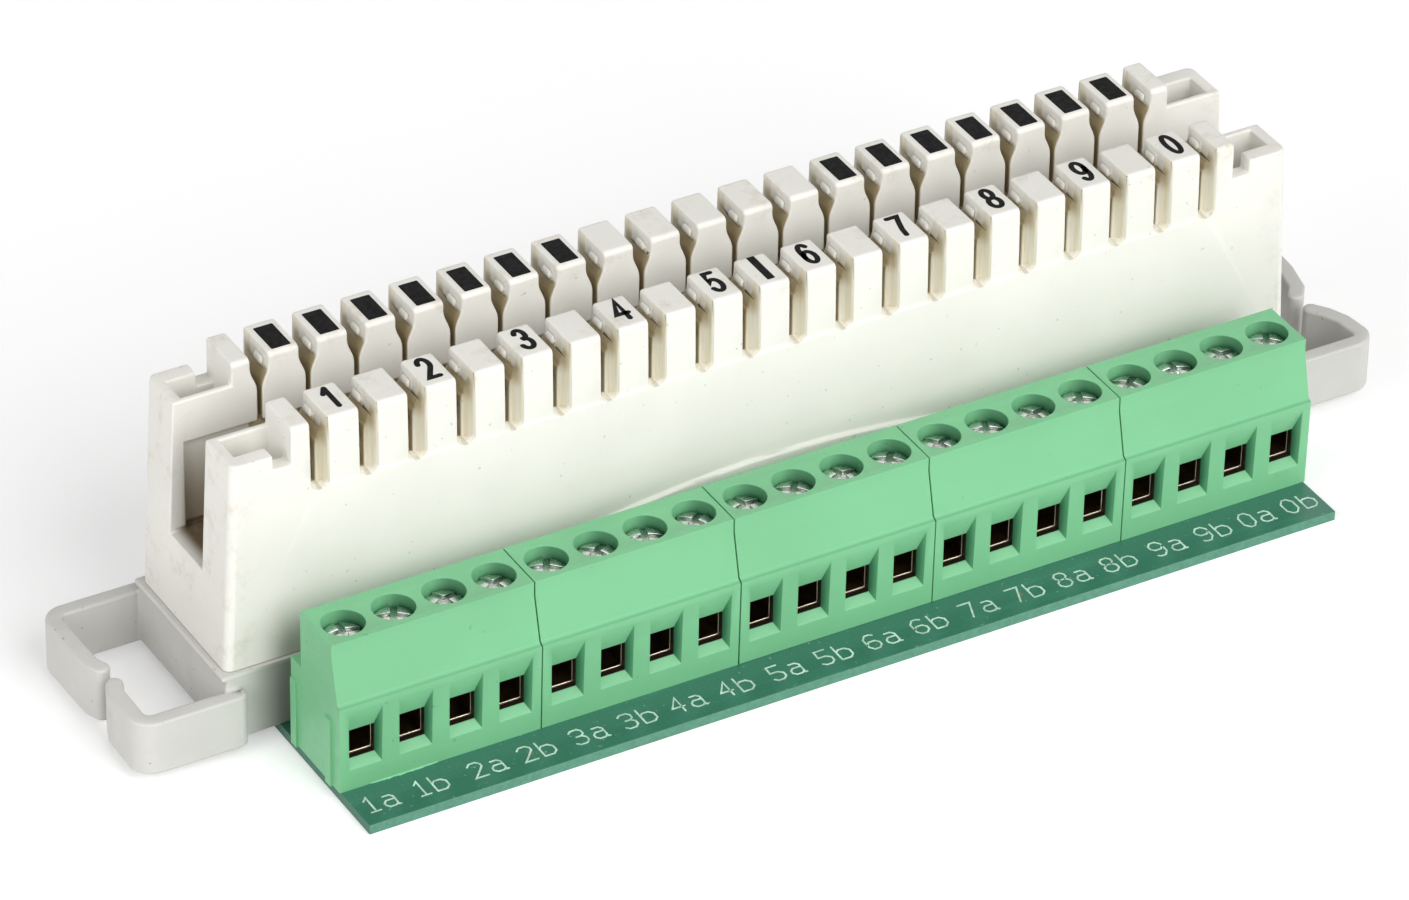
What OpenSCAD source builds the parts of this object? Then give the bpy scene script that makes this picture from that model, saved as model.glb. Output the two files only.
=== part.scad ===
// Ten-pair insulation displacement wiring block with screw terminals on a circuit board.
// X runs along the block, Y from the terminals to the back, Z up.
// Origin: middle of the length, middle of the housing's depth, underside of the board.

/* [Circuit board] */
// Distance the terminal row stands out past the board's ends
board_inset = 0.115; // [0:0.005:0.5]
// Least distance from the last contact's tail to the board's end
tail_margin = 2; // [1:0.5:6]
// Thickness of the board
board_thickness = 1; // [0.8:0.1:2]
// Distance from the housing's front face to the board's front edge
board_reach = 17.4; // [16:0.1:20]
// Distance the board stops short of the base's rear face
board_rear_inset = 1.5; // [0.5:0.1:4]

/* [Housing] */
// Length of each end block beyond its end post
end_block_length = 5.85; // [5:0.05:12]
// Extra length at the housing's foot, both ends together
housing_flare = 2; // [0:0.1:3]
// Depth of the housing
housing_depth = 16.6; // [15.6:0.1:20]
// Height of the end blocks above the base
housing_height = 21.7; // [18:0.1:30]
// Height of the posts above the end blocks
post_rise = 2.3; // [1:0.1:4]
// Depth of each row of posts
row_depth = 5.15; // [4.9:0.05:6.2]
// Radius of the housing's vertical corners
corner_r = 0.8; // [0.5:0.1:2.5]
// Thickness of the housing's side walls at the foot
skirt_wall = 2; // [1.5:0.1:2.5]
// Height of the trough's floor above the base
trough_floor = 8; // [7.5:0.1:10]
// Thickness of the trough's floor
floor_thickness = 1.2; // [0.8:0.1:2]
// Depth of the recess low in each wall of the trough
recess_depth = 0.7; // [0.3:0.05:0.95]
// Distance from the recess's top edge down from the end blocks' top
recess_drop = 4.5; // [3:0.1:6]
// Thickness of the housing's end walls
end_wall = 1.1; // [0.8:0.1:2]

/* [Wire slots] */
// Wire slots in each row
slot_count = 20; // [8:2:24]
// Distance between neighbouring slots
slot_pitch = 4.84; // [4:0.01:6]
// Width of the slit that holds the wire
slit_width = 0.45; // [0.3:0.05:0.8]
// Width of the slot at its mouth
mouth_width = 1.84; // [1.4:0.02:2.2]
// Width of the groove in the outer face
groove_width = 1.9; // [1.4:0.02:2.3]
// Depth of the groove in the outer face
groove_depth = 1.5; // [0.8:0.1:2]
// Distance from the posts' top down to the groove's bottom
groove_drop = 7.3; // [6:0.1:8]
// Distance from the posts' top down to the end of the tapered mouth
taper_end = 3.6; // [2.5:0.1:4.5]
// Distance from the posts' top down to the start of the tapered mouth
taper_start = 1.1; // [0.6:0.1:1.6]
// Radius of the nub that keeps a wire in
nub_r = 0.5; // [0.2:0.05:0.6]
// Length of the nub along the slot
nub_length = 1.4; // [1:0.1:3]
// Distance of the nub from the middle of its row, towards the trough
nub_shift = 1; // [0:0.05:1.2]

/* [End blocks] */
// Length of each raised end post
end_post_length = 1.85; // [1.2:0.05:3]
// Width of the notch beside each end post
notch_width = 1.8; // [1:0.1:2.5]
// Depth of that notch
notch_drop = 1.5; // [0.5:0.1:2]
// Thickness of an end block's outer wall
block_wall = 1.7; // [1:0.1:2]
// Thickness of an end block's wall along the trough
trough_wall = 0.65; // [0.5:0.05:1]
// Thickness left between a pocket's bottom and the recess below it
pocket_floor = 0.6; // [0.4:0.1:1]

/* [Front apron] */
// Length of the arched apron low on the front wall
apron_length = 66; // [20:1:90]
// Height of its crown above the base
apron_height = 5.6; // [3:0.1:7]
// Distance it stands out from the front wall
apron_depth = 0.5; // [0.2:0.05:0.8]

/* [Base] */
// Length the base has beyond the housing's foot at each end
base_overhang = 0.2; // [0:0.05:1]
// Distance the base stands out in front of and behind the housing
base_step = 0.5; // [0.2:0.05:1]
// Height of the base
base_height = 7; // [6.6:0.1:10]
// Thickness of the base's walls
base_wall = 1.5; // [1:0.1:2]
// Thickness of the base's floor
base_floor = 1.2; // [0.8:0.1:2]
// Height of the lip round the base's top
lip_height = 0.6; // [0.3:0.1:1]
// Distance the lip stands out past the base's ends
lip_step = 0.4; // [0.1:0.1:0.8]

/* [Cable rings] */
// Distance from the base's end to the outside of a ring
ring_reach = 9.4; // [7:0.1:14]
// Thickness of a ring's wall
ring_wall = 1.6; // [1:0.1:2]
// Depth that a ring's arms are sunk in the base's walls
ring_sink = 0.2; // [0.1:0.05:0.5]
// Height of the rings
ring_height = 5.5; // [3:0.1:6]
// Radius of a ring's corners, to the middle of its wall
ring_bend = 1.4; // [1:0.1:3]
// Gap between a ring's jaws
ring_gap = 1.1; // [0.6:0.1:3]
// Distance from the housing's front face to the middle of the gap
gap_place = 6.9; // [5:0.1:9]
// Length of a jaw's turned-in tip
jaw_length = 1.2; // [0.5:0.1:2]
// Distance that tip turns in
jaw_hook = 0.45; // [0:0.05:1]
// Distance the left ring's jaws lean in
left_lean = 0.1; // [0:0.1:2]
// Distance the right ring's jaws lean in
right_lean = 1.5; // [0:0.1:2]

/* [Terminals] */
// Distance between poles in one body
pole_pitch = 5; // [4.9:0.02:7]
// Gap between neighbouring bodies
body_gap = 0.12; // [0.05:0.01:0.2]
// Extra length of a body beyond its poles' own widths
body_extra = 0.15; // [0:0.01:0.2]
// Thickness of the shoulder under a screw's head
shoulder = 1.72; // [0.8:0.01:3]
// Distance from the housing's front face to the bodies' back at the top
body_back = 4.77; // [4.5:0.01:6]
// Depth of the bodies at the top
body_top_depth = 5.95; // [5.9:0.05:7]
// Distance the foot stands out behind the top part
foot_rear = 1.97; // [1:0.01:2.5]
// Distance the crease stands out in front of the top edge
crease_front = 1.48; // [1:0.01:2]
// Height of the rear foot and of the front crease
foot_height = 9.1; // [9:0.1:10]
// Distance from the bodies' back to the middle of the wells
well_back = 3.25; // [3.1:0.01:3.4]

/* [Wire entries] */
// Width of an entry's funnel at the face
entry_width = 3.36; // [3:0.02:3.8]
// Height of the funnel's top edge above the board
entry_top = 8.2; // [7.8:0.1:8.6]
// Height of the funnel's bottom edge above the board
entry_bottom = 2.1; // [1.5:0.1:2.5]
// Depth of the funnel
entry_taper = 0.9; // [0.5:0.05:1.1]
// Width of the entry's inner opening
throat_width = 2.56; // [2.2:0.02:3]
// Height of the inner opening
throat_height = 3; // [2:0.1:3.2]
// Height of the inner opening's bottom above the board
throat_bottom = 2.9; // [2.6:0.1:3.2]

/* [Screws and clamps] */
// Diameter of a screw's head
head_d = 3.6; // [3:0.05:4.4]
// Height of a screw's head
head_height = 1.4; // [1:0.1:2]
// Depth of a screw's head below the bodies' top
head_depth = 0.85; // [0.3:0.05:1.6]
// Diameter of a screw's shank
shank_d = 2.5; // [2:0.1:2.6]
// Radius of the dome on a head
dome_r = 4.5; // [3:0.1:8]
// Width of a screw's drive slots
drive_width = 0.6; // [0.4:0.05:0.8]
// Depth of the drive slots
drive_depth = 0.6; // [0.3:0.05:0.9]
// Outer width of a clamp
clamp_width = 3.6; // [3.2:0.05:4.4]
// Depth of a clamp, front to back
clamp_depth = 4.8; // [4:0.1:4.9]
// Thickness of a clamp's side walls
clamp_wall = 0.45; // [0.3:0.05:0.6]
// Thickness of a clamp's lower bar
clamp_bar = 0.8; // [0.5:0.1:1]
// Thickness of a clamp's threaded top
clamp_nut = 1.4; // [1:0.1:1.6]
// Distance a clamp rises from open to shut
clamp_travel = 2.8; // [2:0.1:4]

/* [Contacts and pins] */
// Thickness of a contact
contact_thickness = 0.5; // [0.3:0.05:0.6]
// Width of a contact's fork
fork_width = 3.8; // [3:0.1:4.2]
// Distance from the posts' top down to a fork's tips
fork_drop = 4.5; // [3.7:0.1:6]
// Width of the cut between a fork's tines
fork_slit = 0.25; // [0.2:0.05:0.4]
// Depth of that cut
fork_cut = 7; // [4:0.5:9]
// Width of a contact's tail
tail_width = 0.8; // [0.5:0.1:1]
// Distance of the tails behind the housing's front face
tail_place = 4.6; // [3:0.1:8]
// Width of a terminal's current bar
bar_width = 2.2; // [1.6:0.1:2.4]
// Thickness of a current bar
bar_thickness = 0.6; // [0.4:0.1:0.7]
// Width of the pin below a current bar
pin_width = 1; // [0.6:0.1:1.6]

/* [Clearances] */
// Clearance round a screw's head in its well
well_clearance = 0.2; // [0.1:0.05:0.3]
// Clearance round a screw's shank
shank_clearance = 0.05; // [0.03:0.01:0.1]
// Clearance round a moving clamp
clamp_clearance = 0.15; // [0.1:0.01:0.3]
// Clearance between pieces that stay together
fit_clearance = 0.05; // [0.02:0.01:0.1]
// Gap left between the shut clamp and the current bar
shut_gap = 0.2; // [0.1:0.05:0.4]

/* [Hidden] */
$fn = 64;
// Overlap that carries a cut or a joined shape past a face
past = 1;
// Terminal bodies and the poles in each: one node is made for every body, screw and clamp
body_count = 5;
body_poles = 4;
base_z = board_thickness;
foot_z = base_z + base_height;
block_z = foot_z + housing_height;
post_z = block_z + post_rise;
floor_z = foot_z + trough_floor;
recess_z = block_z - recess_drop;
pocket_z = recess_z + pocket_floor;
groove_z = post_z - groove_drop;
cavity_z = floor_z - floor_thickness;
fork_top_z = post_z - fork_drop;
fork_foot_z = cavity_z - floor_thickness;
slots_half = slot_count * slot_pitch / 2;
end_post_x = slots_half - slot_pitch / 2 + mouth_width / 2 + end_post_length;
housing_length = 2 * (end_post_x + end_block_length);
foot_length = housing_length + housing_flare;
flare_angle = atan(housing_flare / 2 / housing_height);
base_length = foot_length + 2 * base_overhang;
ring_x = base_length / 2 + ring_reach - ring_wall / 2;
base_front = -base_step;
base_depth = housing_depth + 2 * base_step;
body_length = body_poles * pole_pitch + body_extra;
body_pitch = body_length + body_gap;
terminal_row = body_count * body_pitch - body_gap;
board_length = max(terminal_row - 2 * board_inset, 2 * (slots_half - slot_pitch / 2 + tail_margin));
crease_y = -body_back - body_top_depth - crease_front;
front_y = -body_back - body_top_depth;
well_y = -body_back - well_back;
well_d = head_d + 2 * well_clearance;
clamp_open_z = base_z + throat_bottom - clamp_bar;
bar_z = clamp_open_z + clamp_bar + clamp_travel + shut_gap;
nut_z = bar_z + bar_thickness + shut_gap;
shaft_top_z = nut_z + clamp_nut + clamp_travel + 2 * clamp_clearance;
head_z = shaft_top_z + shoulder;
body_z = head_z + head_height + head_depth;
pin_y = well_y + clamp_depth / 2 + clamp_clearance + shut_gap;
// Angles that the screws were left at, from the first pole to the last
drive_angles = [84, 62, 20, 115, 150, 35, 70, 128, 8, 52, 96, 140, 24, 66, 110, 156, 40, 80, 12, 58];

function slot_x(i) = (i + 0.5) * slot_pitch - slots_half;
function pole_x(i) = (floor(i / body_poles) - (body_count - 1) / 2) * body_pitch
    + (i % body_poles - (body_poles - 1) / 2) * pole_pitch;
// Half the slot's width at a share t of its tapered mouth, 0 at the bottom
function mouth_half(t) = slit_width / 2 + (mouth_width - slit_width) / 2 * (1 - cos(180 * t)) / 2;

// Points along an arc from angle a0 to angle a1
function arc_points(centre, r, a0, a1, steps) =
    [for (k = [0:steps]) centre + r * [cos(a0 + (a1 - a0) * k / steps), sin(a0 + (a1 - a0) * k / steps)]];
// The direction of a path at its point k
function heading(path, k) =
    let (ahead = path[min(k + 1, len(path) - 1)] - path[max(k - 1, 0)])
    atan2(ahead.y, ahead.x);
// The outline of a band of even width along a path, with round ends
function ribbon(path, width) =
    let (last = len(path) - 1)
    concat(
        [for (k = [1:last - 1]) path[k] + width / 2 * [sin(heading(path, k)), -cos(heading(path, k))]],
        arc_points(path[last], width / 2, heading(path, last) - 90, heading(path, last) + 90, 12),
        [for (k = [last - 1:-1:1]) path[k] - width / 2 * [sin(heading(path, k)), -cos(heading(path, k))]],
        arc_points(path[0], width / 2, heading(path, 0) + 90, heading(path, 0) + 270, 12)
    );

// Everything is drawn with Y = 0 at the housing's front face, then moved to the origin.
module placed() {
    translate([0, -housing_depth / 2, 0])
        children();
}

// A box given by its low and high corners
module block(low, high) {
    translate(low)
        cube(high - low);
}

// An outline in Y and Z, drawn out along X about the middle
module along_x(length) {
    rotate([90, 0, 90])
        translate([0, 0, -length / 2])
            linear_extrude(length)
                children();
}

// An outline in X and Z, drawn out along Y from y0 to y1
module along_y(y0, y1) {
    translate([0, y1, 0])
        rotate([90, 0, 0])
            linear_extrude(y1 - y0)
                children();
}

module both_ends() {
    children();
    mirror([1, 0, 0])
        children();
}

module both_rows() {
    children();
    translate([0, housing_depth, 0])
        mirror([0, 1, 0])
            children();
}

// What a rounding takes off a straight vertical edge at the origin, with the solid towards +X and +Y
module edge_cut(r, height) {
    difference() {
        block([-past, -past, -past], [r, r, height + past]);
        translate([r, r, -2 * past])
            cylinder(r = r, h = height + 4 * past);
    }
}

// The housing's outer block, longer at the foot, with rounded upright corners
module housing_block() {
    difference() {
        along_y(0, housing_depth)
            polygon([
                [-foot_length / 2, foot_z], [foot_length / 2, foot_z],
                [housing_length / 2, block_z], [-housing_length / 2, block_z]
            ]);
        both_ends()
            both_rows()
                translate([-foot_length / 2, 0, foot_z])
                    rotate([0, flare_angle, 0])
                        edge_cut(corner_r, housing_height / cos(flare_angle));
    }
}

// The raised stretch of one row, with its top edges rounded
module row_top() {
    edge_r = 0.5;
    along_x(2 * end_post_x)
        difference() {
            translate([0, block_z - past])
                square([row_depth, post_rise + past]);
            for (side = [0, 1])
                translate([side * row_depth, post_z])
                    mirror([side, 0])
                        difference() {
                            translate([-past, -edge_r])
                                square([edge_r + past, edge_r + past]);
                            translate([edge_r, -edge_r])
                                circle(edge_r);
                        }
        }
}

// The tapered mouth of a slot in outline
module mouth_outline() {
    steps = 6;
    low = post_z - taper_end;
    high = post_z - taper_start;
    right = [for (k = [0:steps]) [mouth_half(k / steps), low + (high - low) * k / steps]];
    left = [for (k = [steps:-1:0]) [-mouth_half(k / steps), low + (high - low) * k / steps]];
    rim = [[mouth_width / 2, post_z + past], [-mouth_width / 2, post_z + past]];
    polygon(concat(right, rim, left));
}

// The groove in a post's outer face: half an ellipse in plan, with a round bottom
module groove() {
    steps = 10;
    half = groove_width / 2;
    bottom_r = half + fit_clearance;
    centre = [0, groove_z + bottom_r];
    rim = [[bottom_r, post_z + past], [-bottom_r, post_z + past]];
    intersection() {
        translate([0, 0, groove_z - past])
            linear_extrude(groove_drop + 3 * past)
                polygon(concat(
                    [[-half, -past], [half, -past]],
                    [for (k = [0:steps]) [half * cos(180 * k / steps), groove_depth * sin(180 * k / steps)]]
                ));
        along_y(-2 * past, groove_depth + past)
            polygon(concat(arc_points(centre, bottom_r, -180, 0, 12), rim));
    }
}

// One wire slot of the front row
module slot() {
    difference() {
        union() {
            block([-slit_width / 2, -past, groove_z], [slit_width / 2, row_depth + past, post_z + past]);
            along_y(-past, row_depth + past)
                mouth_outline();
        }
        translate([mouth_width / 2, (row_depth + nub_length) / 2 + nub_shift, post_z - taper_start - nub_r / 3])
            rotate([90, 0, 0])
                cylinder(r = nub_r, h = nub_length);
    }
    groove();
}

// Room for one fork, set across the slit at 45 degrees
module fork_room() {
    length = fork_width + 2 * fit_clearance;
    width = contact_thickness + 2 * fit_clearance;
    translate([0, row_depth / 2, fork_foot_z - fit_clearance])
        rotate([0, 0, 45])
            translate([-length / 2, -width / 2, 0])
                cube([length, width, fork_top_z - fork_foot_z + 2 * fit_clearance]);
}

// The recess low in one row's trough wall, which leaves the end walls
module trough_recess() {
    half = housing_length / 2 - end_wall;
    block([-half, row_depth - recess_depth, floor_z], [half, row_depth + past, recess_z]);
}

// The pocket and the notch in one end block, at the right-hand end of the front row
module block_cuts() {
    block([end_post_x, block_wall, pocket_z],
          [housing_length / 2 - end_wall, row_depth - trough_wall, block_z + past]);
    block([end_post_x, -past, block_z - notch_drop],
          [end_post_x + notch_width, block_wall + past, block_z + past]);
}

// The arched apron low on the front wall
module apron() {
    steps = 24;
    side = 0.5;
    arch = [
        for (k = [0:steps])
            let (t = 2 * k / steps - 1)
            [t * apron_length / 2, foot_z + side + (apron_height - side) * (1 - t * t)]
    ];
    foot = foot_z + side / 2;
    along_y(-apron_depth, past)
        polygon(concat([[apron_length / 2, foot], [-apron_length / 2, foot]], arch));
}

module upper_housing() {
    skirt_depth = 1.2;
    plug_gap = base_wall - base_step + fit_clearance;
    plug_x = base_length / 2 - base_wall - fit_clearance;
    color("ivory")
        placed()
            difference() {
                union() {
                    housing_block();
                    both_rows()
                        row_top();
                    apron();
                    block([-plug_x, plug_gap, foot_z - skirt_depth],
                          [plug_x, housing_depth - plug_gap, foot_z + past]);
                }
                block([-foot_length, row_depth, floor_z],
                      [foot_length, housing_depth - row_depth, post_z + past]);
                block([-foot_length / 2 + skirt_wall, skirt_wall, foot_z - skirt_depth - past],
                      [foot_length / 2 - skirt_wall, housing_depth - skirt_wall, cavity_z]);
                both_rows() {
                    trough_recess();
                    both_ends()
                        block_cuts();
                    for (i = [0:slot_count - 1])
                        translate([slot_x(i), 0, 0]) {
                            slot();
                            fork_room();
                        }
                }
            }
}

// The middle line of half a ring: out along the arm, round the corner and back along the wall to the jaw
function ring_path(run, lean) =
    let (middle_share = 0.2, jaw_share = 0.7)
    concat(
        [[base_length / 2 - ring_wall / 2, 0]],
        arc_points([ring_x - ring_bend, ring_bend], ring_bend, -90, 0, 8),
        [
            [ring_x - middle_share * lean, run / 2],
            [ring_x - jaw_share * lean, run - ring_wall / 2 - jaw_length],
            [ring_x - lean - jaw_hook, run - ring_wall / 2]
        ]
    );

// Half of the right-hand ring, from its arm at y = 0 to its jaw's tip at y = run
module half_ring(run, lean) {
    linear_extrude(ring_height)
        polygon(ribbon(ring_path(run, lean), ring_wall));
}

module ring(lean) {
    arm_y = base_front - ring_wall / 2 + ring_sink;
    rear_arm_y = housing_depth - arm_y;
    translate([0, arm_y, base_z])
        half_ring(gap_place - ring_gap / 2 - arm_y, lean);
    translate([0, rear_arm_y, base_z])
        mirror([0, 1, 0])
            half_ring(rear_arm_y - gap_place - ring_gap / 2, lean);
}

// One slot for a contact's tail
module tail_hole(i, z0, z1) {
    translate([slot_x(i), tail_place, 0])
        block([-contact_thickness / 2 - fit_clearance, -tail_width / 2 - fit_clearance, z0 - past],
              [contact_thickness / 2 + fit_clearance, tail_width / 2 + fit_clearance, z1 + past]);
}

module base_housing() {
    half = base_length / 2;
    color("lightgrey")
        placed() {
            difference() {
                union() {
                    block([-half, base_front, base_z], [half, base_front + base_depth, foot_z]);
                    block([-half - lip_step, base_front, foot_z - lip_height],
                          [half + lip_step, base_front + base_depth, foot_z]);
                    ring(right_lean);
                    mirror([1, 0, 0])
                        ring(left_lean);
                }
                block([-half + base_wall, base_front + base_wall, base_z + base_floor],
                      [half - base_wall, base_front + base_depth - base_wall, foot_z + past]);
                for (i = [0:slot_count - 1])
                    tail_hole(i, base_z, base_z + base_floor);
            }
        }
}

module circuit_board() {
    color("seagreen")
        placed()
            difference() {
                block([-board_length / 2, -board_reach, 0],
                      [board_length / 2, base_front + base_depth - board_rear_inset, board_thickness]);
                for (i = [0:slot_count - 1])
                    tail_hole(i, 0, board_thickness);
                for (i = [0:slot_count - 1])
                    translate([pole_x(i), 0, 0])
                        block([-pin_width / 2 - fit_clearance, pin_y - fit_clearance, -past],
                              [pin_width / 2 + fit_clearance, pin_y + bar_thickness + fit_clearance,
                               board_thickness + past]);
            }
}

// A terminal body's outline, front to back
module terminal_outline() {
    brow = 1.4;
    ledge_front = 1.03;
    ledge_height = 0.3;
    lean_back = 0.2;
    polygon([
        [-body_back + foot_rear, base_z],
        [-body_back + foot_rear, base_z + foot_height],
        [-body_back, base_z + foot_height],
        [-body_back, body_z],
        [front_y, body_z],
        [front_y, body_z - brow],
        [front_y - ledge_front, base_z + foot_height + ledge_height],
        [crease_y, base_z + foot_height],
        [crease_y + lean_back, base_z]
    ]);
}

// The wire entry of one pole: a four-sided funnel and the opening behind it
module wire_entry() {
    rim_inset = 0.05;
    outer_y = crease_y + rim_inset;
    inner_y = outer_y + entry_taper;
    grow = past / entry_taper;
    side = (entry_width - throat_width) / 2;
    rise = throat_bottom - entry_bottom;
    fall = entry_top - throat_bottom - throat_height;
    intersection() {
        translate([0, 0, base_z])
            linear_extrude(foot_height)
                polygon([
                    [-entry_width / 2 - side * grow, outer_y - past],
                    [entry_width / 2 + side * grow, outer_y - past],
                    [throat_width / 2, inner_y], [-throat_width / 2, inner_y]
                ]);
        along_x(entry_width + 2 * past)
            polygon([
                [outer_y - past, base_z + entry_bottom - rise * grow],
                [inner_y, base_z + throat_bottom],
                [inner_y, base_z + throat_bottom + throat_height],
                [outer_y - past, base_z + entry_top + fall * grow]
            ]);
    }
    block([-throat_width / 2, inner_y - fit_clearance, base_z + throat_bottom],
          [throat_width / 2, well_y, base_z + throat_bottom + throat_height]);
}

// Everything cut out of a body for one pole
module pole_cuts() {
    room = clamp_depth / 2 + clamp_clearance;
    translate([0, well_y, head_z - fit_clearance])
        cylinder(d = well_d, h = body_z - head_z + past);
    translate([0, well_y, base_z])
        cylinder(d = shank_d + 2 * shank_clearance, h = body_z - base_z);
    block([-clamp_width / 2 - clamp_clearance, well_y - room, base_z - past],
          [clamp_width / 2 + clamp_clearance, well_y + room, shaft_top_z]);
    block([-bar_width / 2 - fit_clearance, well_y, base_z - past],
          [bar_width / 2 + fit_clearance, pin_y + bar_thickness + fit_clearance,
           bar_z + bar_thickness + fit_clearance]);
    wire_entry();
}

// The ribs on a body's left end, which key into grooves in its neighbour
module key_ribs(clearance) {
    rib_width = 1;
    rib_height = 7.2;
    rib_proud = 0.3;
    rib_inset = 0.6;
    for (y = [front_y, -body_back + rib_inset])
        block([-body_length / 2 - rib_proud - clearance, y - clearance, base_z - clearance],
              [-body_length / 2 + past, y + rib_width + clearance, base_z + rib_height + clearance]);
}

module terminal_body(n) {
    color("mediumseagreen")
        placed()
            translate([pole_x((n - 1) * body_poles) + (body_poles - 1) * pole_pitch / 2, 0, 0])
                difference() {
                    union() {
                        along_x(body_length)
                            terminal_outline();
                        key_ribs(0);
                    }
                    translate([body_pitch, 0, 0])
                        key_ribs(fit_clearance);
                    for (k = [0:body_poles - 1])
                        translate([(k - (body_poles - 1) / 2) * pole_pitch, 0, 0])
                            pole_cuts();
                }
}

// One current bar with its solder pin
module terminal_pin() {
    block([-bar_width / 2, well_y - clamp_depth / 2 + past, bar_z],
          [bar_width / 2, pin_y + bar_thickness, bar_z + bar_thickness]);
    block([-pin_width / 2, pin_y, 0], [pin_width / 2, pin_y + bar_thickness, bar_z + fit_clearance]);
}

module terminal_pins(n) {
    color("silver")
        placed()
            for (k = [0:body_poles - 1])
                translate([pole_x((n - 1) * body_poles + k), 0, 0])
                    terminal_pin();
}

// One fork of a contact, set across the slit at 45 degrees
module fork() {
    height = fork_top_z - fork_foot_z;
    translate([0, row_depth / 2, fork_foot_z])
        rotate([0, 0, 45])
            difference() {
                translate([-fork_width / 2, -contact_thickness / 2, 0])
                    cube([fork_width, contact_thickness, height]);
                translate([-fork_slit / 2, -contact_thickness, height - fork_cut])
                    cube([fork_slit, 2 * contact_thickness, fork_cut + past]);
            }
}

// One contact: a fork in each row, the bridge between them and the tail to the board
module contact() {
    bridge_height = 2.4;
    bridge_top = cavity_z - floor_thickness / 2;
    both_rows()
        fork();
    block([-contact_thickness / 2, row_depth / 2, bridge_top - bridge_height],
          [contact_thickness / 2, housing_depth - row_depth / 2, bridge_top]);
    block([-contact_thickness / 2, tail_place - tail_width / 2, 0],
          [contact_thickness / 2, tail_place + tail_width / 2, bridge_top]);
}

// The contacts of one side of each pair: first 0 for a, 1 for b
module contacts(first) {
    color("goldenrod")
        placed()
            for (i = [first:2:slot_count - 1])
                translate([slot_x(i), 0, 0])
                    contact();
}

module screw(n) {
    head_r = head_d / 2;
    dome_drop = dome_r - sqrt(dome_r * dome_r - head_r * head_r);
    color("silver")
        placed()
            translate([pole_x(n - 1), well_y, 0])
                difference() {
                    union() {
                        translate([0, 0, nut_z])
                            cylinder(d = shank_d, h = head_z - nut_z + fit_clearance);
                        intersection() {
                            translate([0, 0, head_z])
                                cylinder(d = head_d, h = head_height);
                            translate([0, 0, head_z + head_height - dome_r])
                                sphere(dome_r);
                        }
                    }
                    for (turn = [0, 90])
                        rotate([0, 0, drive_angles[n - 1] + turn])
                            block([-drive_width / 2, -head_r - past, head_z + head_height - drive_depth],
                                  [drive_width / 2, head_r + past, body_z]);
                }
}

module clamp(n) {
    inner = clamp_width / 2 - clamp_wall;
    top = nut_z + clamp_nut;
    color("goldenrod")
        placed()
            translate([pole_x(n - 1), well_y, 0])
                difference() {
                    block([-clamp_width / 2, -clamp_depth / 2, clamp_open_z],
                          [clamp_width / 2, clamp_depth / 2, top]);
                    block([-inner, -clamp_depth, clamp_open_z + clamp_bar],
                          [inner, clamp_depth, nut_z]);
                    translate([0, 0, nut_z - past])
                        cylinder(d = shank_d + 2 * shank_clearance, h = clamp_nut + 2 * past);
                }
}

upper_housing();
base_housing();
circuit_board();
terminal_body(1);  // terminal_body_1
terminal_body(2);  // terminal_body_2
terminal_body(3);  // terminal_body_3
terminal_body(4);  // terminal_body_4
terminal_body(5);  // terminal_body_5
terminal_pins(1);  // terminal_pins_1
terminal_pins(2);  // terminal_pins_2
terminal_pins(3);  // terminal_pins_3
terminal_pins(4);  // terminal_pins_4
terminal_pins(5);  // terminal_pins_5
contacts(0);  // contacts_a
contacts(1);  // contacts_b
screw(1);  // screw_01
screw(2);  // screw_02
screw(3);  // screw_03
screw(4);  // screw_04
screw(5);  // screw_05
screw(6);  // screw_06
screw(7);  // screw_07
screw(8);  // screw_08
screw(9);  // screw_09
screw(10);  // screw_10
screw(11);  // screw_11
screw(12);  // screw_12
screw(13);  // screw_13
screw(14);  // screw_14
screw(15);  // screw_15
screw(16);  // screw_16
screw(17);  // screw_17
screw(18);  // screw_18
screw(19);  // screw_19
screw(20);  // screw_20
clamp(1);  // clamp_01
clamp(2);  // clamp_02
clamp(3);  // clamp_03
clamp(4);  // clamp_04
clamp(5);  // clamp_05
clamp(6);  // clamp_06
clamp(7);  // clamp_07
clamp(8);  // clamp_08
clamp(9);  // clamp_09
clamp(10);  // clamp_10
clamp(11);  // clamp_11
clamp(12);  // clamp_12
clamp(13);  // clamp_13
clamp(14);  // clamp_14
clamp(15);  // clamp_15
clamp(16);  // clamp_16
clamp(17);  // clamp_17
clamp(18);  // clamp_18
clamp(19);  // clamp_19
clamp(20);  // clamp_20
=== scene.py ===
import math
import random

import bmesh
import bpy
from bpy.props import FloatProperty, FloatVectorProperty, PointerProperty
from bpy.types import Operator, Panel, PropertyGroup
from mathutils import Matrix, Vector


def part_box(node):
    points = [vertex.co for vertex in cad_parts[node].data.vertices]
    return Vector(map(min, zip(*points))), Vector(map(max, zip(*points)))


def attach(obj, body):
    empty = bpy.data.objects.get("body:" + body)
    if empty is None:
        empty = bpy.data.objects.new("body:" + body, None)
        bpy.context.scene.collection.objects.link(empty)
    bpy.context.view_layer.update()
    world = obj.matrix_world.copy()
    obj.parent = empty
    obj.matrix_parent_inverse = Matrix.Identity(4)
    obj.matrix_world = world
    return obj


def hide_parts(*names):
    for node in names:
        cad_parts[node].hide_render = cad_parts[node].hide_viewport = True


bl_info = {
    "name": "Wiring Block Finish",
    "version": (1, 0, 0),
    "blender": (4, 5, 0),
    "location": "3D View > Sidebar > Wiring Block",
    "description": "Finishes a punch down wiring block around its fixed frame",
    "category": "Object",
}

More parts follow.
